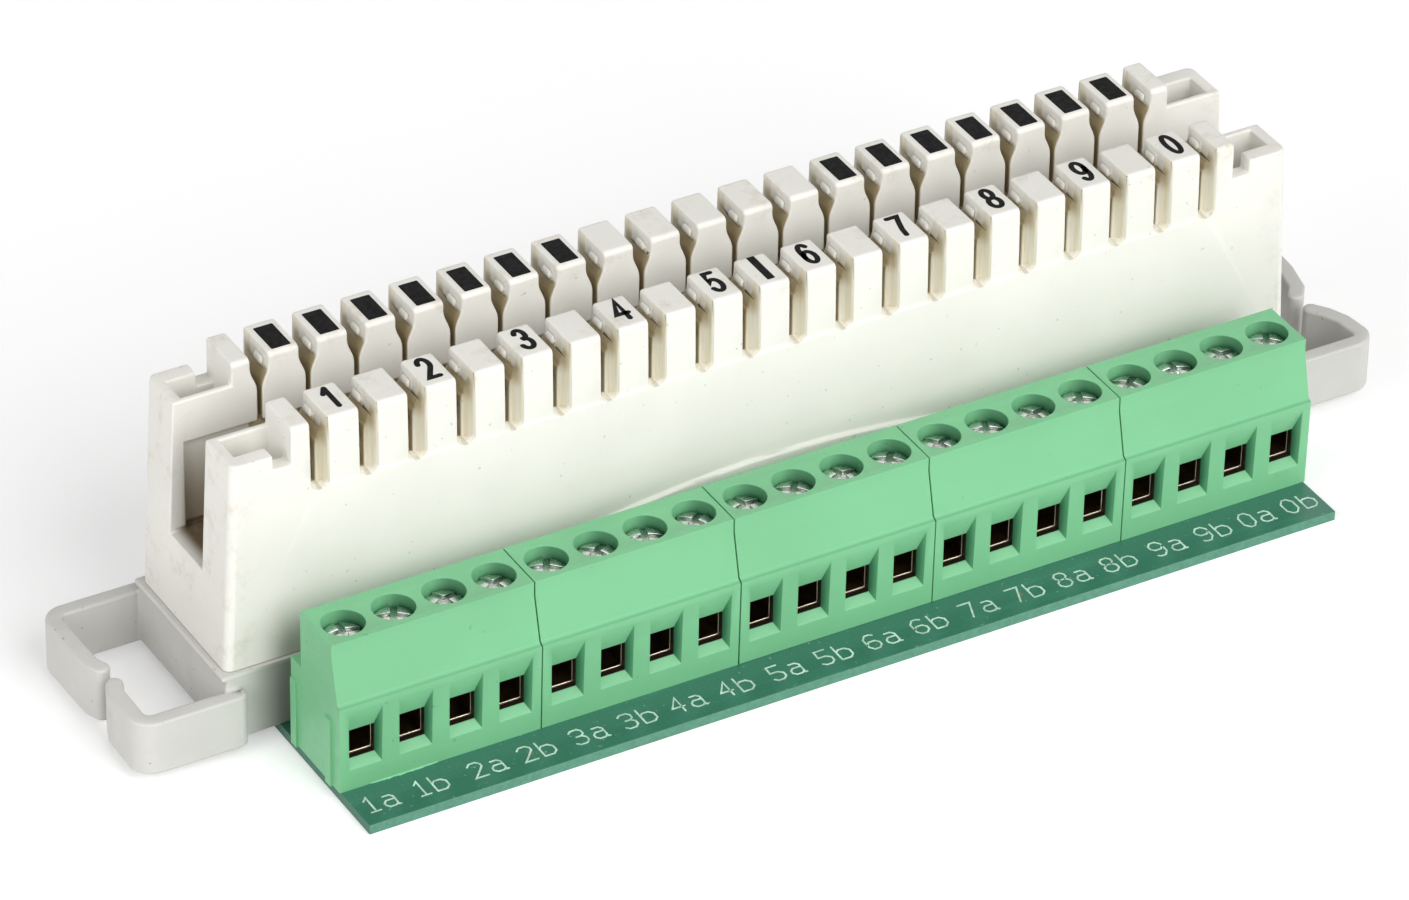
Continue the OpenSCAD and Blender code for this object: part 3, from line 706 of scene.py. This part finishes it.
def terminal_places(recipe):
    """The distances that the painted shade on the terminal bodies is laid out by"""
    x, y, z = recipe.axes()
    body_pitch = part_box("terminal_body_2")[0].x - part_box("terminal_body_1")[0].x
    pitch = pole_x(1) - pole_x(0)
    turns = recipe.math("FRACT", recipe.math("ADD", recipe.math("DIVIDE", x, body_pitch), 0.5))
    inside = recipe.math("MULTIPLY", recipe.math("SUBTRACT", turns, 0.5), body_pitch / pitch)
    off = recipe.math("ABSOLUTE", recipe.math("SUBTRACT", recipe.math("FRACT", inside), 0.5))
    return {
        "z": z,
        "off": recipe.math("MULTIPLY", off, pitch),
        "inward": recipe.math("SUBTRACT", y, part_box("terminal_body_1")[0].y),
        "from_well": recipe.math("ABSOLUTE", recipe.math("SUBTRACT", y, middle("screw_01").y)),
    }


def terminal_plastic():
    """The light green moulding, with painted shade: near-black chambers, and shade in its funnels, wells and
    crease
    """
    colour = tuple(settings().finish.terminal_colour)
    recipe = Recipe("terminal_plastic", 0.42, specular=0.4)
    tone = moulded(recipe, colour, 0.05, 0.3, 0.8)
    # flow marks run across the slopes
    streaks = recipe.ramp(recipe.noise(1, 3.0, 0.6, recipe.stretched((60, 500, 500))), 0.45, 0.75, 0.0, 0.12)
    tone = recipe.mix(streaks, tone, shade(colour, 1.2))
    places = terminal_places(recipe)
    facing = recipe.normal_axes()
    # painted shade on the funnel's right-hand side, stronger further in
    bevel = recipe.all_of(recipe.within(places, FUNNEL), recipe.ramp(facing[0], -0.5, -0.7))
    deepen = recipe.ramp(places["inward"], 0.0, 1.0 * MM, 0.5, 0.95)
    tone = recipe.stain(tone, bevel, deepen, tinted(colour, (0.16, 0.32, 0.30)))
    # the wells' right-hand and rear walls lie in shade
    start, full = WELL_DEPTH
    lower = recipe.ramp(places["z"], start * MM, full * MM, 0.0, 0.25)
    shaded = recipe.math("ADD", recipe.ramp(facing[0], 0.3, -0.8, 0.0, 0.66), lower)
    tone = recipe.stain(tone, recipe.within(places, WELL), shaded, tinted(colour, (0.08, 0.2, 0.16)))
    # a thin shaded line along the crease
    tone = recipe.stain(tone, recipe.within(places, CREASE), 0.6, tinted(colour, (0.5, 0.62, 0.6)))
    # painted shade: the chambers inside the bodies are painted near-black
    recipe.colour(recipe.mix(recipe.within(places, CHAMBER), tone, (0.022, 0.012, 0.008)))
    recipe.rough(recipe.ramp(recipe.noise(700, 4.0), 0.3, 0.7, 0.3, 0.44))
    recipe.bump(recipe.noise(3800, 2.0), 0.14, 0.03 * MM)
    return recipe.material


# The poles beside whose labels the board is stained
STAINED_POLES = (3, 13)


def board_laminate():
    """Glass cloth under solder mask, with a bare core at its cut edges"""
    finish = settings().finish
    mask = tuple(finish.mask_colour)
    core = tuple(finish.core_colour)
    recipe = Recipe("board_laminate", 0.32, specular=0.5)
    weave = None
    for direction in "XY":
        wave = recipe.add("ShaderNodeTexWave")
        wave.inputs["Scale"].default_value = 0.3
        wave.inputs["Distortion"].default_value = 2.5
        wave.inputs["Detail"].default_value = 2.0
        wave.bands_direction = direction
        recipe.link(recipe.stretched((1700, 1700, 1700)), wave.inputs["Vector"])
        band = wave.outputs["Fac"]
        weave = band if weave is None else recipe.math("MULTIPLY", weave, band)
    tone = recipe.mix(recipe.ramp(weave, 0.1, 0.7, 0.0, 0.16), shade(mask, 0.95), shade(mask, 1.35))
    cloud = recipe.ramp(recipe.noise(1, 5.0, 0.7, recipe.stretched((60, 420, 420))), 0.5, 0.75, 0.0, 0.35)
    tone = recipe.mix(cloud, tone, shade(mask, 1.7))
    speck = recipe.ramp(recipe.noise(2600, 1.0), 0.73, 0.77, 0.0, 0.5)
    tone = recipe.mix(speck, tone, (0.4, 0.55, 0.45))
    fibres = recipe.ramp(recipe.noise(1800, 5.0, 0.7), 0.35, 0.65)
    edge_tone = recipe.mix(fibres, shade(core, 0.88), shade(core, 1.1))
    # two small rusty stains beside the labels
    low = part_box("circuit_board")[0]
    x, y, _ = recipe.axes()
    for pole in STAINED_POLES:
        across = recipe.math("ABSOLUTE", recipe.math("SUBTRACT", x, pole_x(pole) + 0.1 * MM))
        along = recipe.math("ABSOLUTE", recipe.math("SUBTRACT", y, low.y + 2.7 * MM))
        rust = recipe.all_of(recipe.step(across, 0.3, 0.05), recipe.step(along, 0.5, 0.1))
        tone = recipe.stain(tone, rust, 0.6, (0.3, 0.14, 0.1))
    facing = recipe.normal_axes()
    # painted shade: the cut edge is darker at the board's ends, where it faces along X
    end_shade = recipe.ramp(recipe.math("ABSOLUTE", facing[0]), 0.4, 0.8)
    edge_tone = recipe.mix(end_shade, edge_tone, shade(core, 0.65))
    upright = recipe.ramp(recipe.math("ABSOLUTE", facing[2]), 0.3, 0.8)
    recipe.colour(recipe.mix(upright, edge_tone, tone))
    recipe.rough(recipe.ramp(upright, 0.0, 1.0, 0.6, 0.3))
    recipe.bump(weave, 0.05, 0.01 * MM)
    return recipe.material


def clamp_brass(colour):
    """Dark brown brass, with its front edges bright"""
    recipe = Recipe("clamp_brass", 0.34, metallic=1.0)
    inward = recipe.math("SUBTRACT", recipe.axes()[1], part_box("clamp_01")[0].y)
    edge = recipe.step(inward, 0.16, 0.1)
    dull = recipe.ramp(recipe.noise(600, 4.0, 0.65), 0.35, 0.7, 0.0, 0.5)
    brown = recipe.mix(dull, tinted(colour, (0.22, 0.16, 0.14)), tinted(colour, (0.12, 0.09, 0.08)))
    recipe.colour(recipe.mix(edge, brown, (0.95, 0.86, 0.66)))
    grain = recipe.noise(1, 3.0, 0.6, recipe.stretched((400, 400, 2600)))
    recipe.rough(recipe.ramp(grain, 0.3, 0.7, 0.3, 0.5))
    recipe.bump(grain, 0.1, 0.01 * MM)
    return recipe.material


def metal(name, colour, roughness, tarnish, brushed=(900, 900, 900)):
    """Plated or plain metal with fine brushing and a little tarnish"""
    recipe = Recipe(name, roughness, metallic=1.0)
    dull = recipe.ramp(recipe.noise(600, 4.0, 0.65), 0.45, 0.7, 0.0, tarnish)
    recipe.colour(recipe.mix(dull, colour, tinted(colour, (0.6, 0.56, 0.5))))
    grain = recipe.noise(1, 3.0, 0.6, recipe.stretched(brushed))
    recipe.rough(recipe.ramp(grain, 0.3, 0.7, roughness * 0.75, roughness * 1.35))
    recipe.bump(grain, 0.1, 0.01 * MM)
    return recipe.material


def ink(name, colour, roughness):
    """Printed ink with a slightly uneven edge-to-edge tone"""
    recipe = Recipe(name, roughness, specular=0.12)
    uneven = recipe.ramp(recipe.noise(1400, 3.0), 0.3, 0.7)
    recipe.colour(recipe.mix(uneven, shade(colour, 0.8), shade(colour, 1.25)))
    recipe.rough(recipe.ramp(recipe.noise(2200, 3.0), 0.3, 0.7, roughness * 0.8, roughness * 1.2))
    recipe.bump(recipe.noise(5000, 2.0), 0.1, 0.01 * MM)
    return recipe.material


# ---------------------------------------------------------------- stage


def camera_frame(view):
    """The camera's right, up and back directions"""
    azimuth, elevation, roll = view.azimuth, view.elevation, view.roll
    back = Vector((
        math.sin(azimuth) * math.cos(elevation), -math.cos(azimuth) * math.cos(elevation), math.sin(elevation)
    ))
    level = Vector((math.cos(azimuth), math.sin(azimuth), 0.0))
    upright = back.cross(level)
    right = math.cos(roll) * level + math.sin(roll) * upright
    up = math.cos(roll) * upright - math.sin(roll) * level
    return right, up, back


def make_camera():
    view = settings().camera
    right, up, back = camera_frame(view)
    place = Vector(view.aim) + back * view.distance
    data = bpy.data.cameras.new("view_camera")
    data.lens = view.lens
    data.sensor_width = 36.0
    data.clip_start = 0.01
    camera = bpy.data.objects.new("view_camera", data)
    camera.matrix_world = Matrix.Translation(place) @ Matrix((right, up, back)).transposed().to_4x4()
    bpy.context.scene.collection.objects.link(camera)
    bpy.context.scene.camera = camera


def seen_rays(tree):
    """1 for rays from the camera, off a mirror or through glass"""
    path = tree.nodes.new("ShaderNodeLightPath")
    total = path.outputs["Is Camera Ray"]
    for name in ("Is Glossy Ray", "Is Transmission Ray"):
        node = tree.nodes.new("ShaderNodeMath")
        node.operation = "MAXIMUM"
        tree.links.new(total, node.inputs[0])
        tree.links.new(path.outputs[name], node.inputs[1])
        total = node.outputs["Value"]
    return total


def make_sky():
    world = bpy.data.worlds.new("studio_sky")
    bpy.context.scene.world = world
    world.use_nodes = True
    tree = world.node_tree
    tree.nodes.clear()
    output = tree.nodes.new("ShaderNodeOutputWorld")
    background = tree.nodes.new("ShaderNodeBackground")
    background.inputs["Color"].default_value = (1.0, 1.0, 1.0, 1.0)
    strength = tree.nodes.new("ShaderNodeMapRange")
    strength.inputs["To Min"].default_value = settings().stage.sky_strength
    strength.inputs["To Max"].default_value = 1.0
    tree.links.new(seen_rays(tree), strength.inputs["Value"])
    tree.links.new(strength.outputs["Result"], background.inputs["Strength"])
    tree.links.new(background.outputs["Background"], output.inputs["Surface"])


def floor_paint():
    stage = settings().stage
    material = bpy.data.materials.new("floor_paint")
    material.use_nodes = True
    tree = material.node_tree
    tree.nodes.clear()
    output = tree.nodes.new("ShaderNodeOutputMaterial")
    paint = tree.nodes.new("ShaderNodeBsdfDiffuse")
    paint.inputs["Color"].default_value = (*stage.floor_colour, 1.0)
    glow = tree.nodes.new("ShaderNodeEmission")
    strength = tree.nodes.new("ShaderNodeMath")
    strength.operation = "MULTIPLY"
    strength.inputs[1].default_value = stage.floor_glow
    tree.links.new(seen_rays(tree), strength.inputs[0])
    tree.links.new(strength.outputs["Value"], glow.inputs["Strength"])
    both = tree.nodes.new("ShaderNodeAddShader")
    tree.links.new(paint.outputs["BSDF"], both.inputs[0])
    tree.links.new(glow.outputs["Emission"], both.inputs[1])
    tree.links.new(both.outputs["Shader"], output.inputs["Surface"])
    return material


def make_floor():
    half = settings().stage.floor_size / 2
    work = bmesh.new()
    corners = ((-half, -half), (half, -half), (half, half), (-half, half))
    work.faces.new([work.verts.new((x, y, 0.0)) for x, y in corners])
    mesh = bpy.data.meshes.new("floor")
    work.to_mesh(mesh)
    work.free()
    mesh.materials.append(floor_paint())
    floor = bpy.data.objects.new("floor", mesh)
    bpy.context.scene.collection.objects.link(floor)


def make_lamp(name, place, size, power):
    data = bpy.data.lights.new(name, "AREA")
    data.shape = "DISK"
    data.size = size
    data.energy = power
    lamp = bpy.data.objects.new(name, data)
    lamp.location = place
    lamp.rotation_euler = (-Vector(place)).to_track_quat("-Z", "Y").to_euler()
    bpy.context.scene.collection.objects.link(lamp)


# Each lamp's name, place and width in metres. Its power is a setting of the same name.
LAMPS = (
    ("key", (0.12, -0.89, 0.72), 0.9),
    ("fill", (-0.95, -0.25, 0.45), 0.8),
    ("side", (0.85, -0.6, 0.4), 0.7),
    ("low", (0.0, -1.0, 0.2), 0.35),
)


class WIRING_OT_stage(Operator):
    """Makes the camera, the floor, the sky and the lamps"""

    bl_idname = "wiring.stage"
    bl_label = "Stage"

    def execute(self, context):
        stage = settings().stage
        context.scene.view_settings.view_transform = "Standard"
        make_camera()
        make_sky()
        make_floor()
        for name, place, width in LAMPS:
            make_lamp(f"{name}_lamp", place, width, getattr(stage, f"{name}_power"))
        return {"FINISHED"}


# ---------------------------------------------------------------- pieces


# Where the outer grooves' edges lie, in millimetres: from the middle of the slot, from the middle of the
# housing and below its top
GROOVE_REACH = 1.05
GROOVE_BACK = 6.6
RIM_HEIGHT = 0.6


class WIRING_OT_housing(Operator):
    """Makes the cream housing that holds the wire slots"""

    bl_idname = "wiring.housing"
    bl_label = "Housing"

    foot_top: FloatProperty(
        name="Foot top", description="Height below which no edge is rounded", default=8.7 * MM, unit="LENGTH"
    )

    def execute(self, context):
        pitch = contact_pitch() / MM
        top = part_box("upper_housing")[1].z / MM

        def left_sharp(place):
            """The edges at the foot and in the outer grooves, which lie too close together to round"""
            off = abs((place.x / pitch) % 1.0 - 0.5) * pitch
            in_row = abs(place.x) < pitch * POLES / 2 and off < GROOVE_REACH
            in_groove = in_row and abs(place.y) > GROOVE_BACK and place.z < top - RIM_HEIGHT
            return place.z < self.foot_top / MM or in_groove

        add_shell(
            "upper_housing", "housing_shell", "block", "housing_plastic", housing_plastic(),
            settings().finish.housing_edge, left_sharp=left_sharp
        )
        return {"FINISHED"}


class WIRING_OT_base(Operator):
    """Makes the grey base with its two cable rings"""

    bl_idname = "wiring.base"
    bl_label = "Base"

    def execute(self, context):
        radius = settings().finish.base_edge
        add_shell("base_housing", "base_shell", "block", "base_plastic", base_plastic(), radius)
        return {"FINISHED"}


class WIRING_OT_board(Operator):
    """Makes the circuit board"""

    bl_idname = "wiring.board"
    bl_label = "Circuit board"

    def execute(self, context):
        radius = settings().finish.board_edge
        add_shell("circuit_board", "board_panel", "block", "board", board_laminate(), radius)
        return {"FINISHED"}


class WIRING_OT_terminals(Operator):
    """Makes the green terminal bodies"""

    bl_idname = "wiring.terminals"
    bl_label = "Terminal bodies"

    def execute(self, context):
        material = terminal_plastic()
        radius = settings().finish.terminal_edge
        for number in range(1, BODIES + 1):
            shell = f"terminal_shell_{number}"
            add_shell(f"terminal_body_{number}", shell, "block", "terminal_plastic", material, radius)
        return {"FINISHED"}


class WIRING_OT_flash(Operator):
    """Makes the ragged flash left along the first body's lower edge"""

    bl_idname = "wiring.flash"
    bl_label = "Moulding flash"

    reach: FloatProperty(
        name="Reach", description="Furthest that the flash stands out", default=0.2 * MM, unit="LENGTH"
    )

    def execute(self, context):
        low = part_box("terminal_body_1")[0]
        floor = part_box("circuit_board")[1].z
        chance = random.Random(7)
        # the body's wall, the flash's left end, and the length and number of its ragged steps
        wall = low.y + 0.17 * MM
        start, step, count = low.x + 3.4 * MM, 0.22 * MM, 30
        rim = []
        for k in range(count + 1):
            fade = math.sin(math.pi * k / count)
            rim.append((start + k * step + chance.uniform(-0.3, 0.3) * step,
                        wall - self.reach * fade * chance.uniform(0.1, 1.0)))
        work = bmesh.new()
        rows = []
        for z, inset in ((floor + 0.005 * MM, 0.0), (floor + 0.1 * MM, 0.02 * MM)):
            rows.append([work.verts.new((x, y + inset, z)) for x, y in rim])
            rows.append([work.verts.new((x, wall + 0.25 * MM, z)) for x, y in rim])
        front_low, back_low, front_high, back_high = rows
        for k in range(count):
            work.faces.new((front_low[k], front_low[k + 1], front_high[k + 1], front_high[k]))
            work.faces.new((front_high[k], front_high[k + 1], back_high[k + 1], back_high[k]))
            work.faces.new((back_high[k], back_high[k + 1], back_low[k + 1], back_low[k]))
            work.faces.new((back_low[k], back_low[k + 1], front_low[k + 1], front_low[k]))
        work.faces.new((front_low[0], front_high[0], back_high[0], back_low[0]))
        work.faces.new((front_low[-1], back_low[-1], back_high[-1], front_high[-1]))
        material = bpy.data.materials["terminal_plastic"]
        piece = add_piece(work, "moulding_flash", "block", material)
        shade_smooth(piece, 40.0)
        return {"FINISHED"}


class WIRING_OT_clamps(Operator):
    """Makes the brass clamps that rise on their screws"""

    bl_idname = "wiring.clamps"
    bl_label = "Clamps"

    def execute(self, context):
        finish = settings().finish
        material = clamp_brass(tuple(finish.brass_colour))
        for pole in range(POLES):
            node = clamp_name(pole)
            add_shell(node, f"{node}_cage", node, "clamp_metal", material, finish.clamp_edge)
        return {"FINISHED"}


def thread_point(angle, rise, length, core, crest, pitch):
    """A point on a threaded shank. The thread fades out at both ends."""
    turn = (rise / pitch - angle / (2 * math.pi)) % 1.0
    ridge = max(0.0, 1.0 - abs(turn - 0.5) * 2.6)
    fade = min(1.0, rise / pitch, (length - rise) / pitch)
    radius = core + (crest - core) * ridge * max(0.0, fade)
    return radius * math.cos(angle), radius * math.sin(angle)


def add_shank(work, centre, low, high, core, crest, pitch):
    """Adds a shank with a right-hand thread between two heights, closed at both ends"""
    around = 24
    rows = int((high - low) / pitch * 8)
    rings = []
    for row in range(rows + 1):
        rise = (high - low) * row / rows
        ring = []
        for step in range(around):
            x, y = thread_point(2 * math.pi * step / around, rise, high - low, core, crest, pitch)
            ring.append(work.verts.new((centre.x + x, centre.y + y, low + rise)))
        rings.append(ring)
    for lower, upper in zip(rings, rings[1:]):
        for step in range(around):
            after = (step + 1) % around
            work.faces.new((lower[step], lower[after], upper[after], upper[step]))
    work.faces.new(list(reversed(rings[0])))
    work.faces.new(rings[-1])


# How far below its head each screw is cut, and how far below it the threaded shank stops, in metres
HEAD_MARGIN = 0.1 * MM
SHANK_MARGIN = 0.05 * MM


class WIRING_OT_screws(Operator):
    """Makes the clamping screws, each with a cross-slotted head and a real thread"""

    bl_idname = "wiring.screws"
    bl_label = "Screws"

    thread_pitch: FloatProperty(
        name="Thread pitch", description="Rise in one turn", default=0.45 * MM, unit="LENGTH"
    )
    thread_depth: FloatProperty(
        name="Thread depth", description="Crest to root", default=0.24 * MM, unit="LENGTH"
    )

    def execute(self, context):
        finish = settings().finish
        material = metal("screw_zinc", tuple(finish.zinc_colour), 0.26, 0.35, (1500, 1500, 1500))
        for pole in range(POLES):
            node = screw_name(pole)
            low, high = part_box(node)
            centre = (low + high) / 2
            shank_r = self.shank_radius(node, low)
            head_low = self.head_underside(node, shank_r, centre)
            work = rounded_copy(node, finish.screw_edge)
            cut = bmesh.ops.bisect_plane(
                work, geom=work.verts[:] + work.edges[:] + work.faces[:], dist=1e-7,
                plane_co=(0, 0, head_low - HEAD_MARGIN), plane_no=(0, 0, 1), clear_inner=True
            )
            rim = [e for e in cut["geom_cut"] if isinstance(e, bmesh.types.BMEdge)]
            bmesh.ops.contextual_create(work, geom=rim)
            core = shank_r - self.thread_depth
            add_shank(work, centre, low.z, head_low - SHANK_MARGIN, core, shank_r, self.thread_pitch)
            piece = add_piece(work, f"{node}_turned", node, material, (node,))
            shade_smooth(piece, 50.0)
        return {"FINISHED"}

    def shank_radius(self, node, low):
        """Half the width of the CAD screw at its foot"""
        foot = [v.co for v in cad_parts[node].data.vertices if v.co.z < low.z + 0.1 * MM]
        return (max(p.x for p in foot) - min(p.x for p in foot)) / 2

    def head_underside(self, node, shank_r, centre):
        """The lowest height at which the CAD screw is wider than its shank"""
        return min(
            v.co.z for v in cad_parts[node].data.vertices
            if (v.co - centre).xy.length > shank_r + 0.1 * MM
        )


class WIRING_OT_metalwork(Operator):
    """Gives the contacts and the solder pins their metal finish"""

    bl_idname = "wiring.metalwork"
    bl_label = "Contacts and pins"

    def execute(self, context):
        finish = settings().finish
        silver = metal("contact_silver", tuple(finish.silver_colour), 0.32, 0.6, (500, 500, 2400))
        tin = metal("pin_tin", tuple(finish.tin_colour), 0.4, 0.5, (900, 900, 900))
        for name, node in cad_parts.items():
            if name.startswith("contacts_"):
                self.dress(node, silver)
            elif name.startswith("terminal_pins_"):
                self.dress(node, tin)
        return {"FINISHED"}

    def dress(self, node, material):
        node.data.materials.clear()
        node.data.materials.append(material)


def add_pad(work, centre, inner, outer, z, thickness):
    """Adds a flat ring of solder round a pin"""
    steps = 24
    rings = []
    for radius, height in ((inner, z), (inner, z - thickness), (outer, z - thickness), (outer, z)):
        rings.append([
            work.verts.new((
                centre[0] + radius[0] * math.cos(2 * math.pi * k / steps),
                centre[1] + radius[1] * math.sin(2 * math.pi * k / steps),
                height,
            ))
            for k in range(steps)
        ])
    for ring, after in zip(rings, rings[1:] + rings[:1]):
        for k in range(steps):
            step = (k + 1) % steps
            work.faces.new((ring[k], ring[step], after[step], after[k]))


# The pads' inner and outer reach along X and Y, in metres, for the terminals' pins and the contacts' tails
PIN_PAD = ((0.6 * MM, 0.4 * MM), (1.25 * MM, 1.0 * MM))
TAIL_PAD = ((0.36 * MM, 0.5 * MM), (1.0 * MM, 1.1 * MM))
SOLDER_FILM = 0.004 * MM


class WIRING_OT_pads(Operator):
    """Makes the soldered pads on the board's underside"""

    bl_idname = "wiring.pads"
    bl_label = "Solder pads"

    def execute(self, context):
        finish = settings().finish
        work = bmesh.new()
        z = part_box("circuit_board")[0].z
        pin_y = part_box("terminal_pins_1")[1].y - 0.3 * MM
        for pole in range(POLES):
            add_pad(work, (pole_x(pole), pin_y), *PIN_PAD, z, SOLDER_FILM)
        tail_y = self.tail_y()
        for slot in range(POLES):
            x = (slot - (POLES - 1) / 2) * contact_pitch()
            add_pad(work, (x, tail_y), *TAIL_PAD, z, SOLDER_FILM)
        material = metal("solder_tin", tuple(finish.tin_colour), 0.28, 0.3, (700, 700, 700))
        piece = add_piece(work, "solder_pads", "block", material)
        shade_smooth(piece)
        return {"FINISHED"}

    def tail_y(self):
        """The middle of the contacts' tails, front to back"""
        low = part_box("contacts_a")[0]
        tails = [v.co.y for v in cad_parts["contacts_a"].data.vertices if v.co.z < low.z + 0.1 * MM]
        return (min(tails) + max(tails)) / 2


# The printed bars: width and length in metres of the one in the front row and of those in the rear row,
# and the rear posts that have one
MIDDLE_BAR = (0.78 * MM, 3.95 * MM)
REAR_BAR = (1.92 * MM, 3.69 * MM)
REAR_BAR_POSTS = (*range(0, 7), *range(12, 19))
# How far print starts below the surface that it lies on
PRINT_SINK = 0.002 * MM


class WIRING_OT_numbers(Operator):
    """Prints the pair numbers and the bars on the posts"""

    bl_idname = "wiring.numbers"
    bl_label = "Post numbers"

    row_middle: FloatProperty(
        name="Row middle", description="Distance from the middle to the middle of each row of print",
        default=5.5 * MM, unit="LENGTH"
    )

    def execute(self, context):
        marks = settings().marks
        material = ink("post_ink", tuple(marks.ink_colour), 0.6)
        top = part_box("upper_housing")[1].z - PRINT_SINK
        film = marks.ink_thickness
        work = bmesh.new()
        for pair in range(10):
            post = 2 * pair
            text = str((pair + 1) % 10)
            add_text(
                work, text, GLYPHS, post_x(post), -self.row_middle - marks.post_height / 2, top,
                marks.post_height, marks.post_stroke, film, squeeze=0.62
            )
        add_bar(work, (post_x(9), -self.row_middle), MIDDLE_BAR, top, film)
        for post in REAR_BAR_POSTS:
            add_bar(work, (post_x(post), self.row_middle), REAR_BAR, top, film)
        add_piece(work, "post_numbers", "block", material)
        return {"FINISHED"}


class WIRING_OT_labels(Operator):
    """Prints the pole labels on the board"""

    bl_idname = "wiring.labels"
    bl_label = "Board labels"

    foot: FloatProperty(
        name="Foot", description="Distance from the board's front edge to the foot of the labels",
        default=1.6 * MM, unit="LENGTH"
    )

    shift: FloatProperty(
        name="Shift", description="Distance of each label to the right of its pole", default=0.68 * MM,
        precision=5, unit="LENGTH"
    )

    def execute(self, context):
        marks = settings().marks
        material = ink("legend_ink", tuple(marks.legend_colour), 0.45)
        low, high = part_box("circuit_board")
        work = bmesh.new()
        for pole in range(POLES):
            text = f"{(pole // 2 + 1) % 10}{'ab'[pole % 2]}"
            add_text(
                work, text, LEGEND, pole_x(pole) + self.shift - self.crowding(pole), low.y + self.foot,
                high.z - PRINT_SINK, marks.label_height, marks.label_stroke, marks.ink_thickness, gap=0.31,
                squeeze=0.95
            )
        add_piece(work, "board_labels", "block", material)
        return {"FINISHED"}

    def crowding(self, pole):
        """How far a label is moved to the left, in metres. Only the outermost ones are."""
        return {0: 0.6, 1: 0.6, POLES - 2: 0.25, POLES - 1: 0.55}.get(pole, 0.0) * MM


class WIRING_PT_panel(Panel):
    """Lists the steps that finish the wiring block"""

    bl_idname = "WIRING_PT_panel"
    bl_label = "Wiring Block"
    bl_space_type = "VIEW_3D"
    bl_region_type = "UI"
    bl_category = "Wiring Block"

    def draw(self, context):
        for step in STEPS:
            self.layout.operator(step.bl_idname, text=step.bl_label)
        for name in ("camera", "stage", "finish", "marks"):
            group = getattr(context.scene.wiring_block, name)
            box = self.layout.box()
            box.label(text=name.capitalize())
            for key in group.__annotations__:
                box.prop(group, key)


STEPS = (
    WIRING_OT_stage,
    WIRING_OT_housing,
    WIRING_OT_base,
    WIRING_OT_board,
    WIRING_OT_terminals,
    WIRING_OT_flash,
    WIRING_OT_clamps,
    WIRING_OT_screws,
    WIRING_OT_metalwork,
    WIRING_OT_pads,
    WIRING_OT_numbers,
    WIRING_OT_labels,
)
GROUPS = (CameraSettings, StageSettings, FinishSettings, MarkSettings, BlockSettings)


def register():
    for item in GROUPS + STEPS + (WIRING_PT_panel,):
        bpy.utils.register_class(item)
    bpy.types.Scene.wiring_block = PointerProperty(type=BlockSettings)


def unregister():
    del bpy.types.Scene.wiring_block
    for item in reversed(GROUPS + STEPS + (WIRING_PT_panel,)):
        bpy.utils.unregister_class(item)


def main():
    register()
    for step in STEPS:
        group, name = step.bl_idname.split(".")
        getattr(getattr(bpy.ops, group), name)()


if __name__ == "__main__":
    main()
